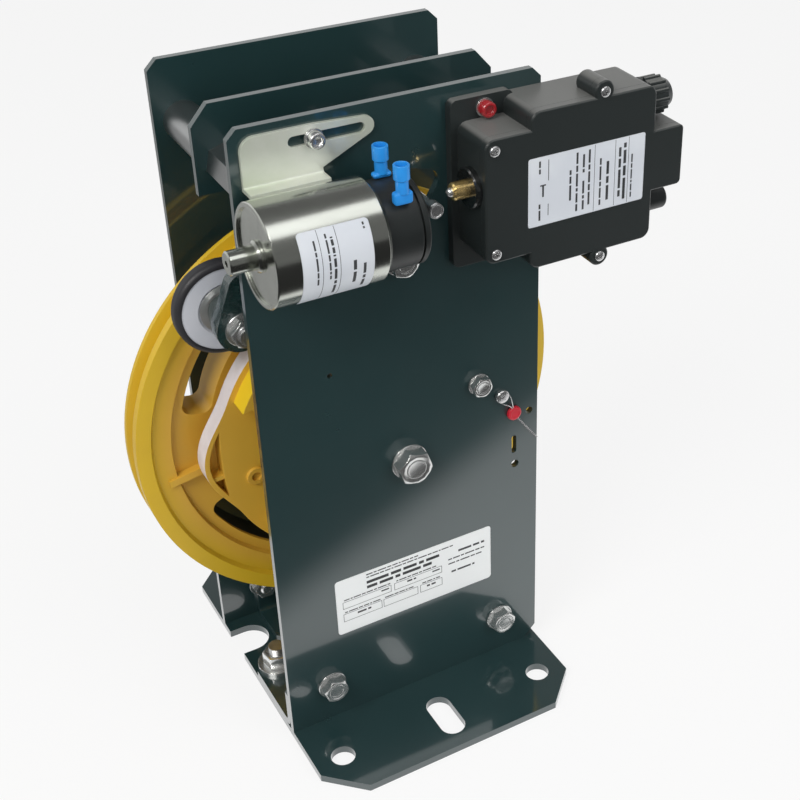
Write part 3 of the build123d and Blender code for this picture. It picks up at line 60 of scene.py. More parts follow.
# Places and sizes in millimetres: the side plates' outer faces lie at -PLATE and +PLATE, and PAPER and INK
# are the thickness of a label and of the print on it

PLATE = 58.15
AXLE_Z = 175.4
STUDS = ((-71, -2), (71, -2), (-25, 33), (25, 33))
STUD_FOOT = 4.8
SPRING_ANCHOR = (45.5, -44.5, 212.5)
SPRING_POST = (-35.0, -44.5, 262.0)
ROLLER_PIN_END = (-80.4, -36.5, 275.4)
TRIP_PIN_END = (6.4, -89.0, 342.9)
COVER_FACE = -91.0
CAN_RADIUS, CAN_Y, CAN_Z = 26.0, -85.0, 340.8
PAPER, INK = 0.12, 0.03

# Flange radius, width over the flats, height of the head and thread radius of a bolt

M6 = (6.6, 11.0, 6.4, 3.0)
M8 = (8.9, 14.0, 8.0, 4.0)
M10 = (11.0, 18.6, 10.0, 5.0)


# Camera, at the viewing angle of the photograph

def place_camera():
    place = Vector((-0.286508, -0.653285, 0.653239))
    yaw, down, roll = 0.5650735, 0.5668843, 0.0154169
    ahead = Vector((math.sin(yaw) * math.cos(down), math.cos(yaw) * math.cos(down), -math.sin(down)))
    level = ahead.cross(Vector(UP)).normalized()
    upright = level.cross(ahead)
    right = math.cos(roll) * level + math.sin(roll) * upright
    up = -math.sin(roll) * level + math.cos(roll) * upright
    data = bpy.data.cameras.new("camera")
    data.lens = 64.44
    data.sensor_width = 36.0
    data.shift_x = -0.1824
    data.shift_y = -0.0337
    data.clip_start = 0.05
    data.clip_end = 30.0
    camera = bpy.data.objects.new("camera", data)
    camera.matrix_world = Matrix.Translation(place) @ Matrix((right, up, -ahead)).transposed().to_4x4()
    bpy.context.collection.objects.link(camera)
    bpy.context.scene.camera = camera


# Shader maths

class Channel:
    """One socket of a material that adds, multiplies and subtracts like a number."""

    def __init__(self, finish, socket):
        self.finish = finish
        self.socket = socket

    def __add__(self, other):
        return self.finish.math("ADD", self, other)

    __radd__ = __add__

    def __mul__(self, other):
        return self.finish.math("MULTIPLY", self, other)

    __rmul__ = __mul__

    def __sub__(self, other):
        return self.finish.math("SUBTRACT", self, other)

    def __rsub__(self, other):
        return self.finish.math("SUBTRACT", other, self)

    def __truediv__(self, other):
        return self.finish.math("DIVIDE", self, other)

    def __pow__(self, other):
        return self.finish.math("POWER", self, other)

    def above(self, other):
        return self.finish.math("GREATER_THAN", self, other)

    def ramp(self, low, high):
        """0 under low, 1 over high, smooth between."""
        places = {0: self, 1: low, 2: high, 3: 0.0, 4: 1.0}
        return self.finish.node("ShaderNodeMapRange", {"interpolation_type": "SMOOTHSTEP"}, places)


class Finish:
    """A material under construction: one principled shader and the nodes that feed it."""

    def __init__(self, name, **constants):
        self.material = bpy.data.materials.new(name)
        self.material.use_nodes = True
        self.tree = self.material.node_tree
        self.tree.nodes.clear()
        self.shader = self.tree.nodes.new("ShaderNodeBsdfPrincipled")
        self.output = self.tree.nodes.new("ShaderNodeOutputMaterial")
        self.tree.links.new(self.shader.outputs[0], self.output.inputs[0])
        self.place = self.node("ShaderNodeTexCoord", output="Object")
        for socket, value in constants.items():
            self.feed(socket.replace("_", " "), value)

    def node(self, kind, settings=None, sockets=None, output=0):
        made = self.tree.nodes.new(kind)
        for setting, value in (settings or {}).items():
            setattr(made, setting, value)
        for socket, value in (sockets or {}).items():
            self.join(value, made.inputs[socket])
        return Channel(self, made.outputs[output])

    def join(self, value, socket):
        if isinstance(value, Channel):
            self.tree.links.new(value.socket, socket)
        else:
            socket.default_value = value

    def feed(self, socket, value):
        self.join(value, self.shader.inputs[socket])

    def math(self, operation, *values):
        return self.node("ShaderNodeMath", {"operation": operation}, dict(enumerate(values)))

    def noise(self, scale, detail=3.0, roughness=0.5, stretch=None):
        place = self.place
        if stretch:
            place = self.node("ShaderNodeMapping", sockets={"Vector": place, "Scale": stretch})
        sockets = {"Vector": place, "Scale": scale, "Detail": detail, "Roughness": roughness}
        return self.node("ShaderNodeTexNoise", sockets=sockets)

    def blend(self, factor, one, other):
        """A colour that goes from one to other as factor goes from 0 to 1."""
        colours = [(*c, 1.0) if isinstance(c, tuple) else c for c in (one, other)]
        sockets = {0: factor, 6: colours[0], 7: colours[1]}
        return self.node("ShaderNodeMix", {"data_type": "RGBA"}, sockets, output=2)

    def axis(self, name, vector=None):
        """X, Y or Z of a vector, or of the place on the object."""
        return self.node("ShaderNodeSeparateXYZ", sockets={0: vector or self.place}, output=name)

    def facing(self):
        """The direction that the surface faces."""
        return self.node("ShaderNodeTexCoord", output="Normal")

    def round_axle(self):
        """Distance from the sheave's axle, and how far the surface faces away from it, from -1 to 1."""
        x, z = self.axis("X"), self.axis("Z") - AXLE_Z * MM
        facing = self.facing()
        radius = (x * x + z * z) ** 0.5
        return radius, (x * self.axis("X", facing) + z * self.axis("Z", facing)) / radius

    def relief(self, height, strength, depth, rounding):
        """Bumps of the given depth in metres, with the edges rounded off."""
        bevel = self.node("ShaderNodeBevel", {"samples": 4}, {"Radius": rounding})
        sockets = {"Height": height, "Strength": strength, "Distance": depth, "Normal": bevel}
        self.feed("Normal", self.node("ShaderNodeBump", sockets=sockets))


# Finishes

def paint(name, colour, light, roughness, grain):
    finish = Finish(name, Coat_Weight=1.0, Coat_Roughness=0.075, Coat_IOR=1.75, Metallic=0.0)
    cloud = finish.noise(9.0, 4.0).ramp(0.3, 0.7)
    orange_peel = finish.noise(330.0, 2.0)
    finish.feed("Base Color", finish.blend(cloud, colour, light))
    finish.feed("Roughness", roughness + finish.noise(60.0, 4.0) * 0.12)
    finish.relief(orange_peel, grain, 0.0002, 0.0003)
    return finish.material


def casting(name, colour, light):
    finish = Finish(name, Coat_Weight=1.0, Coat_Roughness=0.08, Coat_IOR=1.9, Metallic=0.0)
    lumps = finish.noise(230.0, 4.0, 0.6)
    finish.feed("Base Color", finish.blend(lumps.ramp(0.35, 0.7), colour, light))
    finish.feed("Roughness", 0.18 + finish.noise(90.0) * 0.2)
    finish.relief(lumps, 1.0, 0.003, 0.0008)
    return finish.material


def metal(name, dark, light, roughness, spread, scale=120.0, stretch=None, grain=0.05, polish=1.0):
    """Bare or plated metal; under a full polish, a share of it scatters light like a matt surface."""
    finish = Finish(name, Metallic=polish)
    blotch = finish.noise(scale, 5.0, 0.6, stretch)
    fine = finish.noise(scale * 9, 2.0, 0.5, stretch)
    finish.feed("Base Color", finish.blend(blotch.ramp(0.3, 0.72), dark, light))
    finish.feed("Roughness", roughness + blotch * spread)
    finish.relief(fine, grain, 0.0001, 0.0004)
    return finish.material


def moulding(name, colour, light, roughness, grain=0.25, **constants):
    finish = Finish(name, Metallic=0.0, **constants)
    cloud = finish.noise(30.0, 4.0)
    finish.feed("Base Color", finish.blend(cloud.ramp(0.3, 0.7), colour, light))
    finish.feed("Roughness", roughness + cloud * 0.1)
    finish.relief(finish.noise(900.0, 2.0), grain, 0.0001, 0.0006)
    return finish.material


def wheel_paint(name, rim, hub):
    """Yellow enamel with patches of brown dust; lemon on the outer rim and deeper towards the hub, painted
    light and shade, and near black deep on the windows' outer walls, painted shade.
    """
    finish = Finish(name, Coat_Weight=0.12, Coat_Roughness=0.15, Metallic=0.0)
    radius, outwards = finish.round_axle()
    cloud = finish.noise(10.0, 4.0)
    # Painted light and shade: lemon on the outer rim, deeper towards the hub, by radius
    shade = finish.blend(radius.ramp(0.112, 0.126), hub, rim)
    dust_and_painted_light = finish.blend(cloud.ramp(0.35, 0.75) * 0.22, shade, (0.52, 0.27, 0.03))
    inwards = (outwards * -1.0).ramp(0.75, 0.9)
    window_wall = inwards * radius.above(0.09) * (1.0 - radius.above(0.1135))
    # Painted shade: near black deep on the windows' outer walls
    painted_wall_shade = window_wall * finish.axis("Y").ramp(0.0202, 0.0222)
    finish.feed("Base Color", finish.blend(painted_wall_shade, dust_and_painted_light, (0.012, 0.016, 0.012)))
    finish.feed("Roughness", 0.36 + cloud * 0.14)
    finish.relief(finish.noise(420.0, 3.0), 0.12, 0.0002, 0.0006)
    return finish.material


def running_track(name, paint_dark, paint_light):
    """Yellow cam wheel whose ground running band, facing outwards, is worn through to pale metal; the outward
    faces of the teeth in front are lemon, painted light.
    """
    finish = Finish(name, Coat_Weight=0.0, Metallic=0.0)
    radius, outwards = finish.round_axle()
    angle = finish.math("ARCTAN2", finish.axis("Z") - AXLE_Z * MM, finish.axis("X"))
    lobes, crest = 4.0, math.radians(181.5)
    crests = finish.math("COSINE", angle * lobes - lobes * crest).above(0.5)
    on_rim = radius.above(0.0865) * outwards.ramp(0.62, 0.72)
    behind_teeth = finish.axis("Y").above(-0.0056)
    worn = on_rim * radius.above(0.0906 + crests * 0.0025) * behind_teeth
    cloud = finish.noise(14.0, 4.0)
    colour = finish.blend(cloud.ramp(0.3, 0.7), paint_dark, paint_light)
    # Painted light: lemon on the outward faces of the teeth in front, where light from above falls
    lemon = finish.blend(on_rim * (1.0 - behind_teeth), colour, (0.86, 0.60, 0.02))
    pale = finish.blend(finish.noise(90.0, 4.0).ramp(0.3, 0.75), (0.72, 0.68, 0.71), (0.82, 0.79, 0.83))
    finish.feed("Base Color", finish.blend(worn, lemon, pale))
    finish.feed("Roughness", 0.42 - worn * 0.12 + cloud * 0.1)
    finish.relief(finish.noise(500.0, 2.0), 0.08, 0.0002, 0.0006)
    return finish.material


def grained_plastic(name, colour, dust_and_painted_light):
    """Black grained plastic, greyer where it faces up: dust and scuffs, and a painted sheen of the light from
    above.
    """
    finish = Finish(name, Metallic=0.0)
    upwards = finish.axis("Z", finish.facing()).ramp(0.6, 0.95)
    cloud = finish.noise(26.0, 4.0)
    # Faces that look up: a painted sheen of the light from above, patchy with dust
    finish.feed("Base Color", finish.blend(upwards * (0.75 + cloud * 0.4), colour, dust_and_painted_light))
    finish.feed("Roughness", 0.34 + cloud * 0.1)
    finish.relief(finish.noise(800.0, 2.0), 0.25, 0.0001, 0.0006)
    return finish.material


def make_finishes():
    return {
        "green_paint": paint("green_paint", (0.013, 0.036, 0.038), (0.016, 0.042, 0.044), 0.24, 0.03),
        "cast_green": casting("cast_green", (0.005, 0.026, 0.026), (0.009, 0.040, 0.038)),
        # the sheave's rim and hub tones are painted light and shade
        "yellow_paint": wheel_paint("yellow_paint", (0.76, 0.50, 0.022), (0.75, 0.44, 0.05)),
        "running_track": running_track("running_track", (0.72, 0.42, 0.045), (0.80, 0.49, 0.05)),
        "zinc": metal("zinc", (0.74, 0.75, 0.74), (0.86, 0.87, 0.86), 0.19, 0.1, 45.0, polish=0.92),
        "turned_steel": metal("turned_steel", (0.46, 0.47, 0.47), (0.52, 0.53, 0.53), 0.28, 0.06, 30.0),
        "satin_zinc": metal("satin_zinc", (0.66, 0.72, 0.58), (0.86, 0.88, 0.80), 0.3, 0.06, 14.0,
                            polish=0.5),
        "nickel": metal("nickel", (0.56, 0.58, 0.53), (0.68, 0.70, 0.65), 0.15, 0.1, 40.0,
                        stretch=(0.25, 1.0, 1.0), grain=0.12),
        "bright_steel": metal("bright_steel", (0.66, 0.67, 0.68), (0.86, 0.86, 0.86), 0.19, 0.12,
                              polish=0.92),
        "stud_steel": metal("stud_steel", (0.62, 0.62, 0.61), (0.76, 0.76, 0.75), 0.34, 0.1),
        "bearing_steel": metal("bearing_steel", (0.74, 0.74, 0.73), (0.86, 0.86, 0.85), 0.28, 0.1,
                               polish=0.75),
        "hard_steel": metal("hard_steel", (0.16, 0.16, 0.17), (0.34, 0.34, 0.35), 0.35, 0.15),
        "spring_steel": metal("spring_steel", (0.45, 0.46, 0.48), (0.68, 0.69, 0.70), 0.24, 0.12),
        "black_screw": metal("black_screw", (0.03, 0.03, 0.032), (0.09, 0.09, 0.09), 0.32, 0.15),
        "bronze": metal("bronze", (0.45, 0.27, 0.10), (0.66, 0.43, 0.18), 0.35, 0.15),
        "brass": metal("brass", (0.78, 0.54, 0.19), (0.94, 0.72, 0.34), 0.17, 0.12, polish=0.9),
        "rubber": moulding("rubber", (0.022, 0.022, 0.026), (0.035, 0.035, 0.04), 0.42),
        "pale_plastic": moulding("pale_plastic", (0.60, 0.63, 0.70), (0.68, 0.70, 0.76), 0.35, 0.05),
        "black_plastic": moulding("black_plastic", (0.013, 0.016, 0.016), (0.018, 0.021, 0.021), 0.36),
        # the grey is a painted sheen on faces that look up, with dust
        "box_plastic": grained_plastic("box_plastic", (0.019, 0.024, 0.024), (0.16, 0.163, 0.157)),
        "black_gloss": moulding("black_gloss", (0.008, 0.009, 0.009), (0.012, 0.013, 0.013), 0.15, 0.05,
                                Coat_Weight=1.0, Coat_Roughness=0.05),
        "blue_plastic": moulding("blue_plastic", (0.012, 0.215, 0.64), (0.02, 0.30, 0.80), 0.25, 0.1),
        "red_paint": paint("red_paint", (0.30, 0.008, 0.014), (0.38, 0.012, 0.018), 0.2, 0.05),
        "red_plastic": moulding("red_plastic", (0.50, 0.014, 0.03), (0.62, 0.022, 0.04), 0.3, 0.1),
        "label_film": moulding("label_film", (0.84, 0.86, 0.86), (0.87, 0.89, 0.89), 0.25, 0.02),
        "silver_film": moulding("silver_film", (0.60, 0.63, 0.68), (0.66, 0.69, 0.73), 0.28, 0.02),
        "print": moulding("print", (0.03, 0.032, 0.035), (0.06, 0.062, 0.065), 0.5, 0.02),
    }


def dress_frame(finishes):
    """Gives every node the finish that its record names, and a few a finish of their own."""
    chosen = {subpart["node"]: subpart["material_slot"] for subpart in frame["record"]["subparts"]}
    chosen |= {"cam_wheel": "running_track", "solenoid_bracket": "satin_zinc", "gland_nut": "box_plastic",
               "plunger_collar": "black_gloss", "roller_bearing": "bearing_steel",
               "round_spacers": "turned_steel", "hex_spacers": "turned_steel"}
    for node, finish in chosen.items():
        for place in nodes[node].material_slots:
            place.material = finishes[finish]


# Floor, lamps and backdrop

def make_floor():
    """A pale floor with its shadow; the object mirrors it light near the front plate and dark further out."""
    form = bmesh.new()
    bmesh.ops.create_grid(form, x_segments=1, y_segments=1, size=6.0)
    bmesh.ops.translate(form, verts=form.verts, vec=(0, 0, -0.0005))
    mesh = bpy.data.meshes.new("floor")
    form.to_mesh(mesh)
    form.free()
    floor = bpy.data.objects.new("floor", mesh)
    bpy.context.collection.objects.link(floor)
    finish = Finish("floor", Roughness=0.9)
    tone = finish.noise(2.0).ramp(0.3, 0.7)
    finish.feed("Base Color", finish.blend(tone, (0.80, 0.80, 0.80), (0.82, 0.82, 0.82)))
    x, y = finish.axis("X"), finish.axis("Y")
    close = (y + x * 0.42 + 0.190).ramp(-0.028, 0.022)
    light = close * (1.0 - (x * -1.0).ramp(0.10, 0.24) * 0.65)
    tree = finish.tree
    white = emission(tree, 1.0)
    mirrored = mixed(tree, light.socket, emission(tree, 0.03), white)
    plain = mixed(tree, ray(tree, "Is Glossy Ray"), white, mirrored)
    both = mixed(tree, plain_share(tree, seen=0.84), finish.shader.outputs[0], plain)
    tree.links.new(both, finish.output.inputs[0])
    mesh.materials.append(finish.material)


def make_world():
    """White all round; the object mirrors a light backdrop, dark overhead, and a dark room in front."""
    world = bpy.data.worlds.new("studio")
    world.use_nodes = True
    bpy.context.scene.world = world
    tree = world.node_tree
    tree.nodes.clear()
    output = tree.nodes.new("ShaderNodeOutputWorld")
    place = tree.nodes.new("ShaderNodeTexCoord")
    parts = tree.nodes.new("ShaderNodeSeparateXYZ")
    tree.links.new(place.outputs["Generated"], parts.inputs[0])
    overhead = ramped(tree, parts.outputs["Z"], 0.4, 0.75)
    to_the_rear = ramped(tree, parts.outputs["Y"], -0.1, 0.3)
    backdrop = mixed(tree, overhead, sky(tree, 0.75), sky(tree, 0.13))
    mirrored = mixed(tree, to_the_rear, sky(tree, 0.16), backdrop)
    plain = mixed(tree, ray(tree, "Is Glossy Ray"), sky(tree, 1.0), mirrored)
    both = mixed(tree, plain_share(tree, seen=1.0), sky(tree, 0.35), plain)
    tree.links.new(both, output.inputs[0])


def ray(tree, name):
    return tree.nodes.new("ShaderNodeLightPath").outputs[name]


def plain_share(tree, seen):
    """The given share for camera rays, also through glass, 1 for rays that mirror and 0 for all others."""
    total = None
    for name, share in (("Is Camera Ray", seen), ("Is Transmission Ray", seen), ("Is Glossy Ray", 1.0)):
        part = tree.nodes.new("ShaderNodeMath")
        part.operation = "MULTIPLY_ADD"
        part.inputs[1].default_value = share
        part.inputs[2].default_value = 0.0
        tree.links.new(ray(tree, name), part.inputs[0])
        if total:
            tree.links.new(total, part.inputs[2])
        total = part.outputs[0]
    return total


def ramped(tree, value, low, high):
    ramp = tree.nodes.new("ShaderNodeMapRange")
    ramp.interpolation_type = "SMOOTHSTEP"
    tree.links.new(value, ramp.inputs[0])
    for number, limit in enumerate((low, high, 0.0, 1.0), 1):
        ramp.inputs[number].default_value = limit
    return ramp.outputs[0]


def mixed(tree, factor, one, other):
    mix = tree.nodes.new("ShaderNodeMixShader")
    for value, socket in zip((factor, one, other), mix.inputs):
        tree.links.new(value, socket)
    return mix.outputs[0]


def emission(tree, strength):
    made = tree.nodes.new("ShaderNodeEmission")
    made.inputs["Strength"].default_value = strength
    return made.outputs[0]


def sky(tree, strength):
    made = tree.nodes.new("ShaderNodeBackground")
    made.inputs["Color"].default_value = (1.0, 1.0, 1.0, 1.0)
    made.inputs["Strength"].default_value = strength
    return made.outputs[0]


def lamp(name, place, width, height, power, colour=(1.0, 1.0, 1.0)):
    """A broad soft lamp that aims at the middle of the object."""
    aim = Vector((0, 0, 0.2)) - Vector(place)
    data = bpy.data.lights.new(name, "AREA")
    data.shape = "RECTANGLE"
    data.size = width
    data.size_y = height
    data.energy = power
    data.color = colour
    made = bpy.data.objects.new(name, data)
    made.location = place
    made.rotation_mode = "QUATERNION"
    made.rotation_quaternion = aim.to_track_quat("-Z", "Y")
    bpy.context.collection.objects.link(made)
    return made


def make_light():
    lamp("key", (-1.3, -0.7, 1.6), 1.0, 0.8, 23.0, (1.0, 0.985, 0.96))
    fill = lamp("fill", (0.9, -1.7, 0.9), 1.2, 1.2, 12.0, (0.96, 0.98, 1.0))
    fill.visible_glossy = False
    lamp("top", (0.38, -0.72, 1.85), 1.6, 0.8, 5.0)


# Mesh tools

def millimetres(x, y, z):
    return Vector((x * MM, y * MM, z * MM))


def added(form, before):
    """The vertices that the form has gained since before."""
    return [v for v in form.verts if v not in before]


def edges_of(verts):
    return list(dict.fromkeys(e for v in verts for e in v.link_edges))


def faces_of(verts):
    return list(dict.fromkeys(f for v in verts for f in v.link_faces))


def set_down(form, before, place, aim, turn=0.0):
    """Moves what is new in the form from the origin to its place, its Z axis along aim."""
    move = Matrix.Translation(millimetres(*place)) @ Vector(aim).to_track_quat("Z", "Y").to_matrix().to_4x4()
    move = move @ Matrix.Rotation(math.radians(turn), 4, "Z")
    bmesh.ops.transform(form, matrix=move, verts=added(form, before))


def lathe(form, profile, place, aim, steps=48):
    """Turns a profile of (radius, height) in millimetres round the axis aim through place."""
    before = set(form.verts)
    chain = [form.verts.new((r * MM, 0, h * MM)) for r, h in profile]
    edges = [form.edges.new(pair) for pair in zip(chain, chain[1:])]
    bmesh.ops.spin(form, geom=chain + edges, cent=(0, 0, 0), axis=UP, angle=2 * math.pi, steps=steps,
                   use_merge=True)
    bmesh.ops.remove_doubles(form, verts=added(form, before), dist=MERGE)
    set_down(form, before, place, aim)


def hexagon(form, corner, bottom, top):
    """A hexagonal prism round the Z axis, its corners at the given radius."""
    verts = bmesh.ops.create_cone(form, cap_ends=True, segments=6, radius1=corner * MM, radius2=corner * MM,
                                  depth=(top - bottom) * MM)["verts"]
    bmesh.ops.translate(form, verts=verts, vec=(0, 0, (top + bottom) / 2 * MM))
    return verts


def block(form, length, width, height, middle):
    """A block on the Z axis, its middle at the given height."""
    verts = bmesh.ops.create_cube(form, size=1.0)["verts"]
    bmesh.ops.scale(form, verts=verts, vec=millimetres(length, width, height))
    bmesh.ops.translate(form, verts=verts, vec=(0, 0, middle * MM))
    return verts


def dish_top(form, verts, border, rim, depth):
    """Sinks a dish into the topmost face, inside a flat border, with a slope as wide as rim."""
    lid = max(faces_of(verts), key=lambda f: f.calc_center_median().z)
    bmesh.ops.inset_region(form, faces=[lid], thickness=border * MM, depth=0)
    bmesh.ops.inset_region(form, faces=[lid], thickness=rim * MM, depth=-depth * MM)


def add_wire(form, points, radius, move=Matrix()):
    """Adds a round wire along points in millimetres, moved by the matrix."""
    curve = bpy.data.curves.new("wire", "CURVE")
    curve.dimensions = "3D"
    line = curve.splines.new("NURBS")
    line.points.add(len(points) - 1)
    for point, place in zip(line.points, points):
        point.co = (*millimetres(*place), 1.0)
    line.order_u = 3
    line.use_endpoint_u = True
    line.resolution_u = 4
    curve.bevel_depth = radius * MM
    curve.bevel_resolution = 2
    curve.use_fill_caps = True
    holder = bpy.data.objects.new("wire", curve)
    bpy.context.collection.objects.link(holder)
    mesh = bpy.data.meshes.new_from_object(holder.evaluated_get(bpy.context.evaluated_depsgraph_get()))
    bpy.data.objects.remove(holder)
    mesh.transform(move)
    form.from_mesh(mesh)
    bpy.data.meshes.remove(mesh)


def shape(name, form, finish, body):
    """Turns a bmesh into a piece that rides on its body, if one is named, smooth except at sharp edges."""
    bmesh.ops.remove_doubles(form, verts=form.verts, dist=MERGE)
    bmesh.ops.recalc_face_normals(form, faces=form.faces)
    mesh = bpy.data.meshes.new(name)
    form.to_mesh(mesh)
    form.free()
    mesh.materials.append(finish)
    mesh.polygons.foreach_set("use_smooth", [True] * len(mesh.polygons))
    mesh.set_sharp_from_angle(angle=math.radians(35.0))
    made = bpy.data.objects.new(name, mesh)
    bpy.context.collection.objects.link(made)
    if body:
        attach(made, body)
    return made


def rounded(node, name, finish, body, width):
    """A copy of a node with its sharp edges rounded, in the node's place."""
    form = bmesh.new()
    form.from_mesh(nodes[node].data)
    bmesh.ops.remove_doubles(form, verts=form.verts, dist=MERGE)
    bmesh.ops.dissolve_limit(form, angle_limit=math.radians(0.5), verts=form.verts, edges=form.edges)
    sharp = [e for e in form.edges if e.is_manifold and e.calc_face_angle() > math.radians(40.0)]
    bmesh.ops.bevel(form, geom=sharp, offset=width * MM, affect="EDGES", segments=3, profile=0.5,
                    material=-1, clamp_overlap=True)
    made = shape(name, form, finish, body)
    made.modifiers.new("level_faces", "WEIGHTED_NORMAL").keep_sharp = True
    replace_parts(made, node)


# Bolts, studs and nuts

def washer(form, bore, rim, thickness, place, aim):
    lathe(form, [(bore, 0), (rim - 0.3, 0), (rim, 0.3), (rim, thickness - 0.3), (rim - 0.3, thickness),
                 (bore, thickness), (bore, 0)], place, aim)


def thread(radius, start, end):
    """Profile of a threaded rod from start to end, with chamfered ends."""
    pitch = 1.25
    root = radius - 0.6 * pitch
    profile = [(0, start), (root - 0.4, start), (root, start + 0.4)]
    for turn in range(int((end - start - 1.2) / pitch)):
        foot = start + 0.5 + turn * pitch
        profile += [(radius, foot + pitch * 0.5), (root, foot + pitch)]
    return profile + [(radius, end - 0.3), (radius, end), (0, end)]


def hexagon_head(form, flats, bottom, top, place, aim, turn, dish):
    """A hexagon head, its corners cut by a cone and its top dished."""
    before = set(form.verts)
    corner, chamfer = flats / 2 / math.cos(math.radians(30)), flats * 0.475
    hexagon(form, corner, bottom, top)
    for number in range(12):
        angle = math.radians(number * 30)
        out = Vector((math.cos(angle), math.sin(angle), 0))
        slope = (out + Vector((0, 0, 1.5))).normalized()
        verts = added(form, before)
        cut = bmesh.ops.bisect_plane(form, geom=verts + edges_of(verts) + faces_of(verts), dist=1e-7,
                                     plane_co=out * (chamfer * MM) + Vector((0, 0, top * MM)),
                                     plane_no=slope, clear_outer=True)
        rim = [e for e in cut["geom_cut"] if isinstance(e, bmesh.types.BMEdge)]
        if rim:
            bmesh.ops.contextual_create(form, geom=rim)
    dish_top(form, added(form, before), flats * 0.07, flats * 0.05, dish)
    set_down(form, before, place, aim, turn)


def bolt(form, place, aim, size, length, turn):
    """A bolt with a thin washer, a chamfered hexagon head with a ring in its dish, and a threaded shank."""
    flange, flats, height, radius = size
    seat = 1.4
    washer(form, radius, flange, seat, place, aim)
    hexagon_head(form, flats, seat, height, place, aim, turn, dish=0.35)
    ring, low, foot = flats * 0.27, height - 0.5, height - 1.5
    lathe(form, [(0, low), (ring, low), (ring + 0.15, height - 0.2), (ring + 0.9, height - 0.2),
                 (ring + 1.05, low), (ring + 0.9, foot), (0, foot), (0, low)], place, aim)
    threaded = min(12.0, length)
    lathe(form, [(r, h - length) for r, h in thread(radius, 0, threaded)], place, aim, steps=24)
    if length > threaded:
        start, end = threaded - length, seat + 0.2
        lathe(form, [(0, start), (radius, start), (radius, end), (0, end)], place, aim, steps=24)


def make_bolts(finishes):
    zinc = finishes["zinc"]
    low = 31.5
    sets = (
        ("flange_bolts", "side_bolts", M8, 16.6,
         ((-58, low, FRONT), (58, low, FRONT), (-58, low, REAR), (58, low, REAR))),
        ("axle_end_bolts", "axle_bolts", M10, 26.0, ((0, AXLE_Z, FRONT), (0, AXLE_Z, REAR))),
        ("rocker_shaft_bolt", "pivot_bolt", M8, 24.0, ((0, 304.0, FRONT),)),
        ("spring_anchor_bolt", "anchor_bolt", M6, 8.0, ((SPRING_ANCHOR[0], SPRING_ANCHOR[2], FRONT),)),
        ("spacer_bolts", "rear_spacer_screws", M8, 18.0, ((-69, 355, REAR), (69, 355, REAR))),
    )
    for name, node, size, length, places in sets:
        form = bmesh.new()
        for number, (x, z, aim) in enumerate(places):
            bolt(form, (x, aim[1] * PLATE, z), aim, size, length, 17.0 + 23.0 * number)
        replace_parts(shape(name, form, zinc, "frame"), node)


def make_studs(finishes):
    form = bmesh.new()
    for x, y in STUDS:
        lathe(form, thread(5.0, 0, 19.2), (x, y, STUD_FOOT), UP, steps=32)
    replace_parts(shape("welded_studs", form, finishes["stud_steel"], "frame"), "angle_studs")
    form = bmesh.new()
    for number, (x, y) in enumerate(STUDS):
        before = set(form.verts)
        corner = 9.24
        verts = hexagon(form, corner, 11.2, 19.4)
        faces = faces_of(verts)
        dish_top(form, verts, corner * 0.28, corner * 0.08, 0.9)
        rims = [e for f in faces if f.is_valid for e in f.edges if e.calc_face_angle(0) > 0.7]
        bmesh.ops.bevel(form, geom=list(dict.fromkeys(rims)), offset=0.6 * MM, affect="EDGES", segments=2,
                        profile=0.5, material=-1, clamp_overlap=True)
        set_down(form, before, (x, y, 0), UP, 10.0 + 35.0 * number)
    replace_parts(shape("stud_nuts", form, finishes["zinc"], "frame"), "angle_nuts")


def make_pin_ends(finishes):
    """Washer, nut and thread end on the roller pin, and the raised rim of the trip pin."""
    form = bmesh.new()
    washer(form, 5.0, 9.5, 1.5, ROLLER_PIN_END, FRONT)
    hexagon_head(form, 14.5, 1.5, 7.5, ROLLER_PIN_END, FRONT, 20.0, dish=0.2)
    lathe(form, thread(4.9, 7.0, 9.6), ROLLER_PIN_END, FRONT, steps=32)
    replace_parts(shape("roller_pin_nut", form, finishes["zinc"], "rocker"), "roller_nut")
    form = bmesh.new()
    lathe(form, [(2.9, -0.2), (4.0, -0.2), (4.0, 0.2), (3.7, 0.45), (3.2, 0.45), (2.9, 0.1), (2.9, -0.2)],
          TRIP_PIN_END, FRONT, steps=40)
    shape("trip_pin_rim", form, finishes["bright_steel"], "rocker")


# Screws and the seal

def cross(form, length, width, height, middle, place, turn):
    """Two thin bars that cross on the head of a screw."""
    for angle in (turn, turn + 90.0):
        before = set(form.verts)
        block(form, length, width, height, middle)
        set_down(form, before, place, FRONT, angle)


def make_cover_screws(finishes):
    form = bmesh.new()
    for number, (x, z) in enumerate(((38.3, 368.2), (38.9, 311.2), (102.8, 386.5), (102.8, 293.5))):
        place = (x, COVER_FACE, z)
        lathe(form, [(0, -12.0), (1.5, -12.0), (1.5, 0), (2.82, 0), (3.0, 0.25), (2.91, 0.75), (2.58, 1.15),
                     (1.86, 1.45), (0, 1.55)], place, FRONT, steps=32)
        cross(form, 3.45, 0.9, 0.12, 1.53, place, 25.0 + 31.0 * number)
    screws = shape("cover_cross_screws", form, finishes["bright_steel"], "frame")
    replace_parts(screws, "cover_screws")


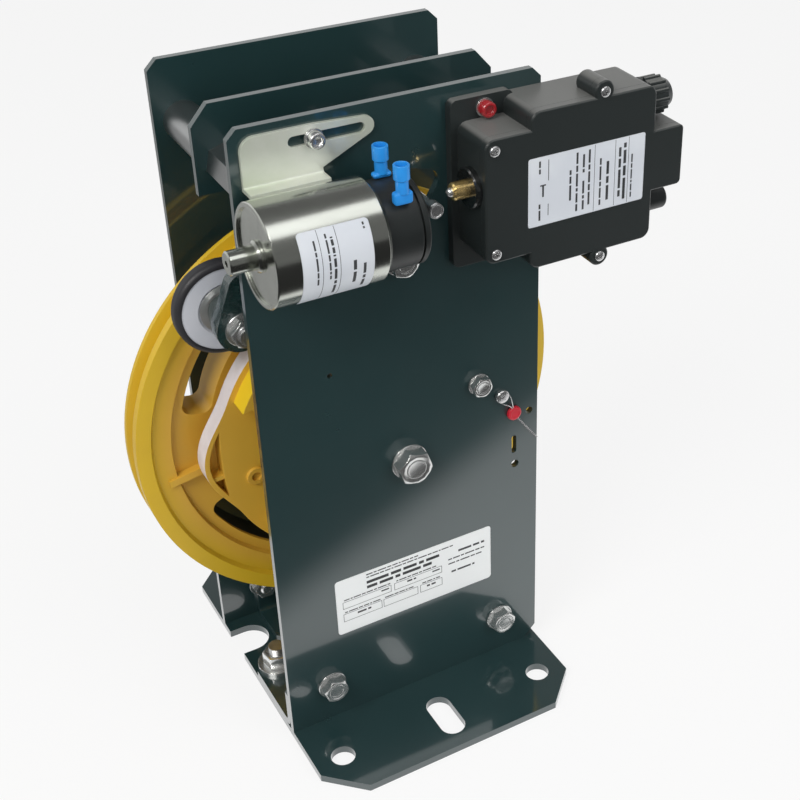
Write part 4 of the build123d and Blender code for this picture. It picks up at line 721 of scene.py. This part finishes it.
def socket_screws(name, node, finish, places):
    """Cylinder-head screws with a hexagon socket, set on their washers."""
    form = bmesh.new()
    for number, place in enumerate(places):
        lathe(form, [(0, -8.0), (2.5, -8.0), (2.5, 0), (3.9, 0), (4.2, 0.3), (4.2, 4.1), (3.9, 4.6),
                     (3.5, 4.8), (2.75, 4.8), (2.6, 4.5)], place, FRONT, steps=40)
        before = set(form.verts)
        ring = bmesh.ops.create_circle(form, segments=6, radius=2.45 * MM)["verts"]
        bmesh.ops.translate(form, verts=ring, vec=(0, 0, 3.6 * MM))
        sides = edges_of(ring)
        floor = bmesh.ops.contextual_create(form, geom=sides)["faces"]
        walls = bmesh.ops.extrude_edge_only(form, edges=sides)
        bmesh.ops.poke(form, faces=floor, offset=-0.8 * MM)
        lip = [v for v in walls["geom"] if isinstance(v, bmesh.types.BMVert)]
        bmesh.ops.translate(form, verts=lip, vec=(0, 0, 0.9 * MM))
        set_down(form, before, place, FRONT, 12.0 + 19.0 * number)
        rim = [e for e in form.edges if e.is_boundary]
        bmesh.ops.triangle_fill(form, edges=rim, use_beauty=True)
    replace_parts(shape(name, form, finish, "frame"), node)


def twisted_pair(head, tail):
    """Two strands from head to tail that wind round each other, as lists of points."""
    steps, turns, sway = 56, 8, 0.42
    run = tail - head
    side = run.normalized().cross(Vector(REAR))
    strands = []
    for phase in (0.0, math.pi):
        strand = []
        for step in range(steps + 1):
            turn = step * turns * 2 * math.pi / steps + phase
            out = side * (sway * math.cos(turn)) + Vector(REAR) * (sway * math.sin(turn))
            strand.append(tuple(head + run * (step / steps) + out))
        strands.append(strand)
    return strands


def make_seal(finishes):
    """Sealed screw, round seal with its crimp, and the loops and twisted tail of the sealing wire."""
    form = bmesh.new()
    place = (60.3, -PLATE, 199.5)
    lathe(form, [(0, -6.0), (2.4, -6.0), (2.4, 0), (3.9, 0), (4.2, 0.3), (4.2, 2.4), (3.7, 3.0), (2.6, 3.2),
                 (0, 3.2)], place, FRONT, steps=40)
    cross(form, 5.4, 1.0, 0.3, 3.12, place, 35.0)
    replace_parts(shape("sealed_screw", form, finishes["bright_steel"], "frame"), "seal_screw")
    form = bmesh.new()
    lathe(form, [(0, 0.1), (3.9, 0.1), (4.5, 0.7), (4.6, 1.4), (4.3, 2.4), (3.6, 2.9), (2.9, 3.0), (2.7, 2.7),
                 (0, 2.6)], (68.4, -PLATE, 185.2), FRONT, steps=48)
    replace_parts(shape("round_seal", form, finishes["red_plastic"], "frame"), "wire_seal")
    form = bmesh.new()
    loops = [[(62.6, -59.9, 202.6), (64.4, -60.9, 200.2), (65.6, -61.2, 196.6), (66.4, -61.0, 193.0),
              (67.4, -60.2, 189.6), (68.0, -59.9, 187.6)],
             [(58.2, -59.9, 196.4), (60.2, -60.9, 194.6), (62.8, -61.1, 193.4), (65.4, -60.8, 191.2),
              (67.0, -60.2, 188.8), (67.8, -59.9, 187.2)]]
    for strand in loops + twisted_pair(Vector((70.2, -59.6, 182.0)), Vector((84.2, -59.4, 162.4))):
        add_wire(form, strand, 0.32)
    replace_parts(shape("sealing_wire", form, finishes["bright_steel"], "frame"), "seal_wire")


# Labels: plain ruled cards, their small print only dark dashes

def card(form, u0, u1, v0, v1, thickness, corner=0, cuts=0, lift=0.0):
    """A flat card between corners in millimetres, with cuts across it so that it can bend."""
    before = set(form.verts)
    bmesh.ops.create_grid(form, x_segments=1, y_segments=1, size=0.5)
    flat = added(form, before)
    bmesh.ops.scale(form, verts=flat, vec=((u1 - u0) * MM, (v1 - v0) * MM, 1))
    bmesh.ops.translate(form, verts=flat, vec=millimetres((u0 + u1) / 2, (v0 + v1) / 2, lift))
    if corner:
        bmesh.ops.bevel(form, geom=flat, offset=corner * MM, affect="VERTICES", segments=5, profile=0.5,
                        material=-1)
    for cut in range(1, cuts):
        verts = added(form, before)
        level = v0 + (v1 - v0) * cut / cuts
        bmesh.ops.bisect_plane(form, geom=verts + edges_of(verts) + faces_of(verts), dist=1e-7,
                               plane_co=(0, level * MM, 0), plane_no=(0, 1, 0))
    faces = faces_of(added(form, before))
    lifted = bmesh.ops.extrude_face_region(form, geom=faces, use_keep_orig=True)
    top = [v for v in lifted["geom"] if isinstance(v, bmesh.types.BMVert)]
    bmesh.ops.translate(form, verts=top, vec=(0, 0, thickness * MM))


def ink(form, areas, cuts=0):
    """Printed areas on top of a label."""
    for area in areas:
        card(form, *area, INK, cuts=cuts, lift=PAPER)


def print_rows(form, rows, upright=False, cuts=0):
    """Dashes that stand for small print: (start, end, level, height) of each row."""
    lengths, gap = (5.2, 2.4, 7.1, 3.3, 4.4, 1.6, 6.0, 2.9), 0.8
    for number, (start, end, level, height) in enumerate(rows):
        place, count = start, number
        while place < end - height:
            stop = min(place + lengths[count % len(lengths)] * height, end)
            along, across = (place, stop), (level - height / 2, level + height / 2)
            ink(form, [across + along if upright else along + across], cuts)
            place = stop + height * gap
            count += 1


def ruled_box(form, u0, u1, v0, v1):
    line = 0.28
    ink(form, ((u0, u1, v0, v0 + line), (u0, u1, v1 - line, v1), (u0, u0 + line, v0, v1),
               (u1 - line, u1, v0, v1)))


def stand_on(form, y):
    """Turns a flat card upright against the plane at y, its face to the front."""
    turn = Matrix(((1, 0, 0, 0), (0, 0, -1, y * MM), (0, 1, 0, 0), (0, 0, 0, 1)))
    bmesh.ops.transform(form, matrix=turn, verts=form.verts)


def wrap_round_can(form):
    """Rolls a card onto the can: its second axis runs round the can from the rear over the top."""
    for v in form.verts:
        angle = v.co.y / (CAN_RADIUS * MM)
        radius = (CAN_RADIUS + 0.02) * MM + v.co.z
        v.co = Vector((v.co.x, CAN_Y * MM + radius * math.cos(angle), CAN_Z * MM + radius * math.sin(angle)))


def label_piece(name, form, finish):
    shape(name, form, finish, "frame")


def print_piece(name, form, finish):
    shape(name, form, finish, "frame")


def make_rating_label(finishes):
    form = bmesh.new()
    card(form, -51, 52.5, 67, 107.5, PAPER, 2.2)
    stand_on(form, -PLATE)
    label_piece("rating_label", form, finishes["label_film"])
    form = bmesh.new()
    print_rows(form, ((-31, 3, 105.0, 0.8), (-31, 27, 102.9, 0.8), (-31, 17, 99.2, 2.0), (-31, 15, 95.6, 2.0),
                      (-46, -16, 91.9, 0.8), (-12, 15, 91.9, 0.8), (-22, -17, 88.6, 1.0), (-5, 1, 88.6, 1.2),
                      (12, 17, 88.6, 1.0), (-46, -23, 82.7, 0.8), (-20, -1, 82.7, 0.8), (5, 17, 82.7, 0.8),
                      (-38, -29, 79.3, 1.3), (8, 14, 79.3, 1.3), (30, 48, 97.4, 1.5), (23, 48, 93.0, 0.9),
                      (23, 46, 89.6, 0.9), (25, 41, 83.0, 1.3)))
    for box in ((-47, -15.5, 85.4, 90.6), (-13.5, 18.5, 85.4, 90.6), (-47, -22, 75.8, 81.6),
                (-21, 2, 75.8, 81.6), (3.5, 18.5, 75.8, 81.6)):
        ruled_box(form, *box)
    stand_on(form, -PLATE)
    print_piece("rating_label_print", form, finishes["print"])


def make_switch_label(finishes):
    form = bmesh.new()
    card(form, 57.7, 129.2, 321, 359.3, PAPER, 1.4)
    stand_on(form, COVER_FACE)
    label_piece("switch_label", form, finishes["silver_film"])
    form = bmesh.new()
    print_rows(form, ((324, 334, 64.5, 1.1), (350, 357, 64.5, 1.1), (331, 348, 83.0, 1.2),
                      (324, 357, 87.0, 1.2), (324, 341, 91.0, 1.2), (345, 357, 91.0, 1.2),
                      (326, 357, 94.5, 1.2), (324, 352, 101.5, 1.1), (326, 348, 106.0, 1.6),
                      (326, 354, 113.5, 1.5), (324, 357, 116.6, 1.7), (324, 350, 121.2, 0.9)), upright=True)
    ink(form, [(u, u + 0.25, 321.6, 358.8) for u in (97.6, 110.4, 118.8)])
    ink(form, ((69.5, 69.9, 326, 332.5), (69.5, 69.9, 345.5, 357), (66.0, 67.0, 337, 343),
               (64.8, 68.2, 343, 343.8)))
    stand_on(form, COVER_FACE)
    print_piece("switch_label_print", form, finishes["print"])


def make_can_label(finishes):
    bends = 24
    form = bmesh.new()
    card(form, -74, -38, 63.1, 108.9, PAPER, 2.0, bends)
    wrap_round_can(form)
    label_piece("can_label", form, finishes["silver_film"])
    form = bmesh.new()
    print_rows(form, ((68.1, 90.8, -66.6, 0.9), (66.2, 88.9, -60.4, 0.9), (68.1, 100.7, -57.8, 1.3),
                      (81.7, 97.6, -48.0, 1.6), (84.4, 100.7, -43.0, 1.4), (64.9, 68.1, -41.0, 0.9)),
               upright=True, cuts=3)
    ink(form, [(u, u + 0.25, 63.5, 108.5) for u in (-64.2, -55.4)], bends)
    wrap_round_can(form)
    print_piece("can_label_print", form, finishes["print"])


# Tension spring between the rocker and its anchor

def make_spring(finishes):
    low, high = Vector(SPRING_ANCHOR), Vector(SPRING_POST)
    along = (high - low).normalized()
    length = (high - low).length
    wire, radius, pitch, steps, hook, eye = 0.9, 4.3, 2.35, 18, 13.0, 4.5
    turns = int((length - 2 * hook) / pitch)
    form = bmesh.new()
    ring = bmesh.ops.create_circle(form, segments=8, radius=wire * MM)["verts"]
    start = Matrix.Translation((radius * MM, 0, hook * MM)) @ Matrix.Rotation(math.pi / 2, 4, "X")
    bmesh.ops.transform(form, matrix=start, verts=ring)
    bmesh.ops.spin(form, geom=ring + edges_of(ring), cent=(0, 0, 0), axis=UP, angle=turns * 2 * math.pi,
                   dvec=(0, 0, pitch / steps * MM), steps=turns * steps)
    open_ends = [e for e in form.edges if e.is_boundary]
    bmesh.ops.holes_fill(form, edges=open_ends, sides=10)
    level = Vector(FRONT).cross(along).normalized()
    lean = Matrix((level, Vector(FRONT), along)).transposed().to_4x4()
    lean = Matrix.Translation(millimetres(*low)) @ lean
    bmesh.ops.transform(form, matrix=lean, verts=form.verts)
    for middle, first, sense in ((0.0, hook, 1), (length, hook + turns * pitch, -1)):
        points = [(radius, 0, first), (radius * 0.9, 1.4 * sense, first - 0.9 * sense),
                  (radius * 0.2, 0.6 * sense, first - 2.4 * sense), (0, 0, first - 4.5 * sense)]
        for degrees in range(90, -200, -40):
            angle = math.radians(degrees)
            points.append((eye * math.cos(angle), 0, middle + sense * eye * math.sin(angle)))
        add_wire(form, points, wire, lean)
    spring = shape("tension_spring", form, finishes["spring_steel"], None)
    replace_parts(spring, "rocker_spring")
    tuple(millimetres(*(high - along * 9)))
    tuple(millimetres(*(low + along * 9)))
    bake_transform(spring)


# Push-on connectors and rounded mouldings

def connector(form, y, foot, top):
    """An insulated push-on connector: hollow sleeve, neck and broad foot."""
    place = (-18.0, y, 0)
    before = set(form.verts)
    neck = top - 13.6
    verts = block(form, 9.7, 5.0, neck - foot, (neck + foot) / 2)
    bmesh.ops.bevel(form, geom=edges_of(verts), offset=1.5 * MM, affect="EDGES", segments=3, profile=0.5,
                    material=-1)
    set_down(form, before, place, UP)
    lathe(form, [(0, neck - 1), (3.15, neck - 1), (3.15, top - 8.0), (3.5, top - 7.7), (3.95, top - 7.4),
                 (4.0, top - 7.0), (4.0, top - 0.3), (3.7, top), (3.1, top), (2.95, top - 0.3),
                 (2.8, top - 7.0), (0, top - 7.0)], place, UP, steps=36)


def make_fittings(finishes):
    form = bmesh.new()
    connector(form, -80.0, 363.5, 380.0)
    connector(form, -102.0, 358.5, 378.6)
    connectors = shape("push_on_connectors", form, finishes["blue_plastic"], "frame")
    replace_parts(connectors, "cable_connectors")
    make_cover_screws(finishes)
    socket_screws("bracket_socket_screw", "bracket_screw", finishes["bright_steel"],
                  [(-43.0, -PLATE - 3.0, 381.5)])
    socket_screws("red_socket_screws", "switch_screws", finishes["red_paint"],
                  [(48.6, -PLATE - 6.0, 379.6), (48.6, -PLATE - 6.0, 300.7)])
    make_seal(finishes)
    rounded("switch_housing", "switch_box", finishes["box_plastic"], "frame", 0.9)
    rounded("switch_cover", "switch_lid", finishes["box_plastic"], "frame", 0.5)
    rounded("rocker_arm", "rocker_casting", finishes["cast_green"], "rocker", 1.3)


place_camera()
finishes = make_finishes()
dress_frame(finishes)
for make in (make_bolts, make_studs, make_rating_label, make_switch_label, make_can_label, make_spring,
             make_fittings, make_pin_ends):
    make(finishes)
make_floor()
make_world()
make_light()

bpy.context.scene.view_settings.view_transform = "Standard"
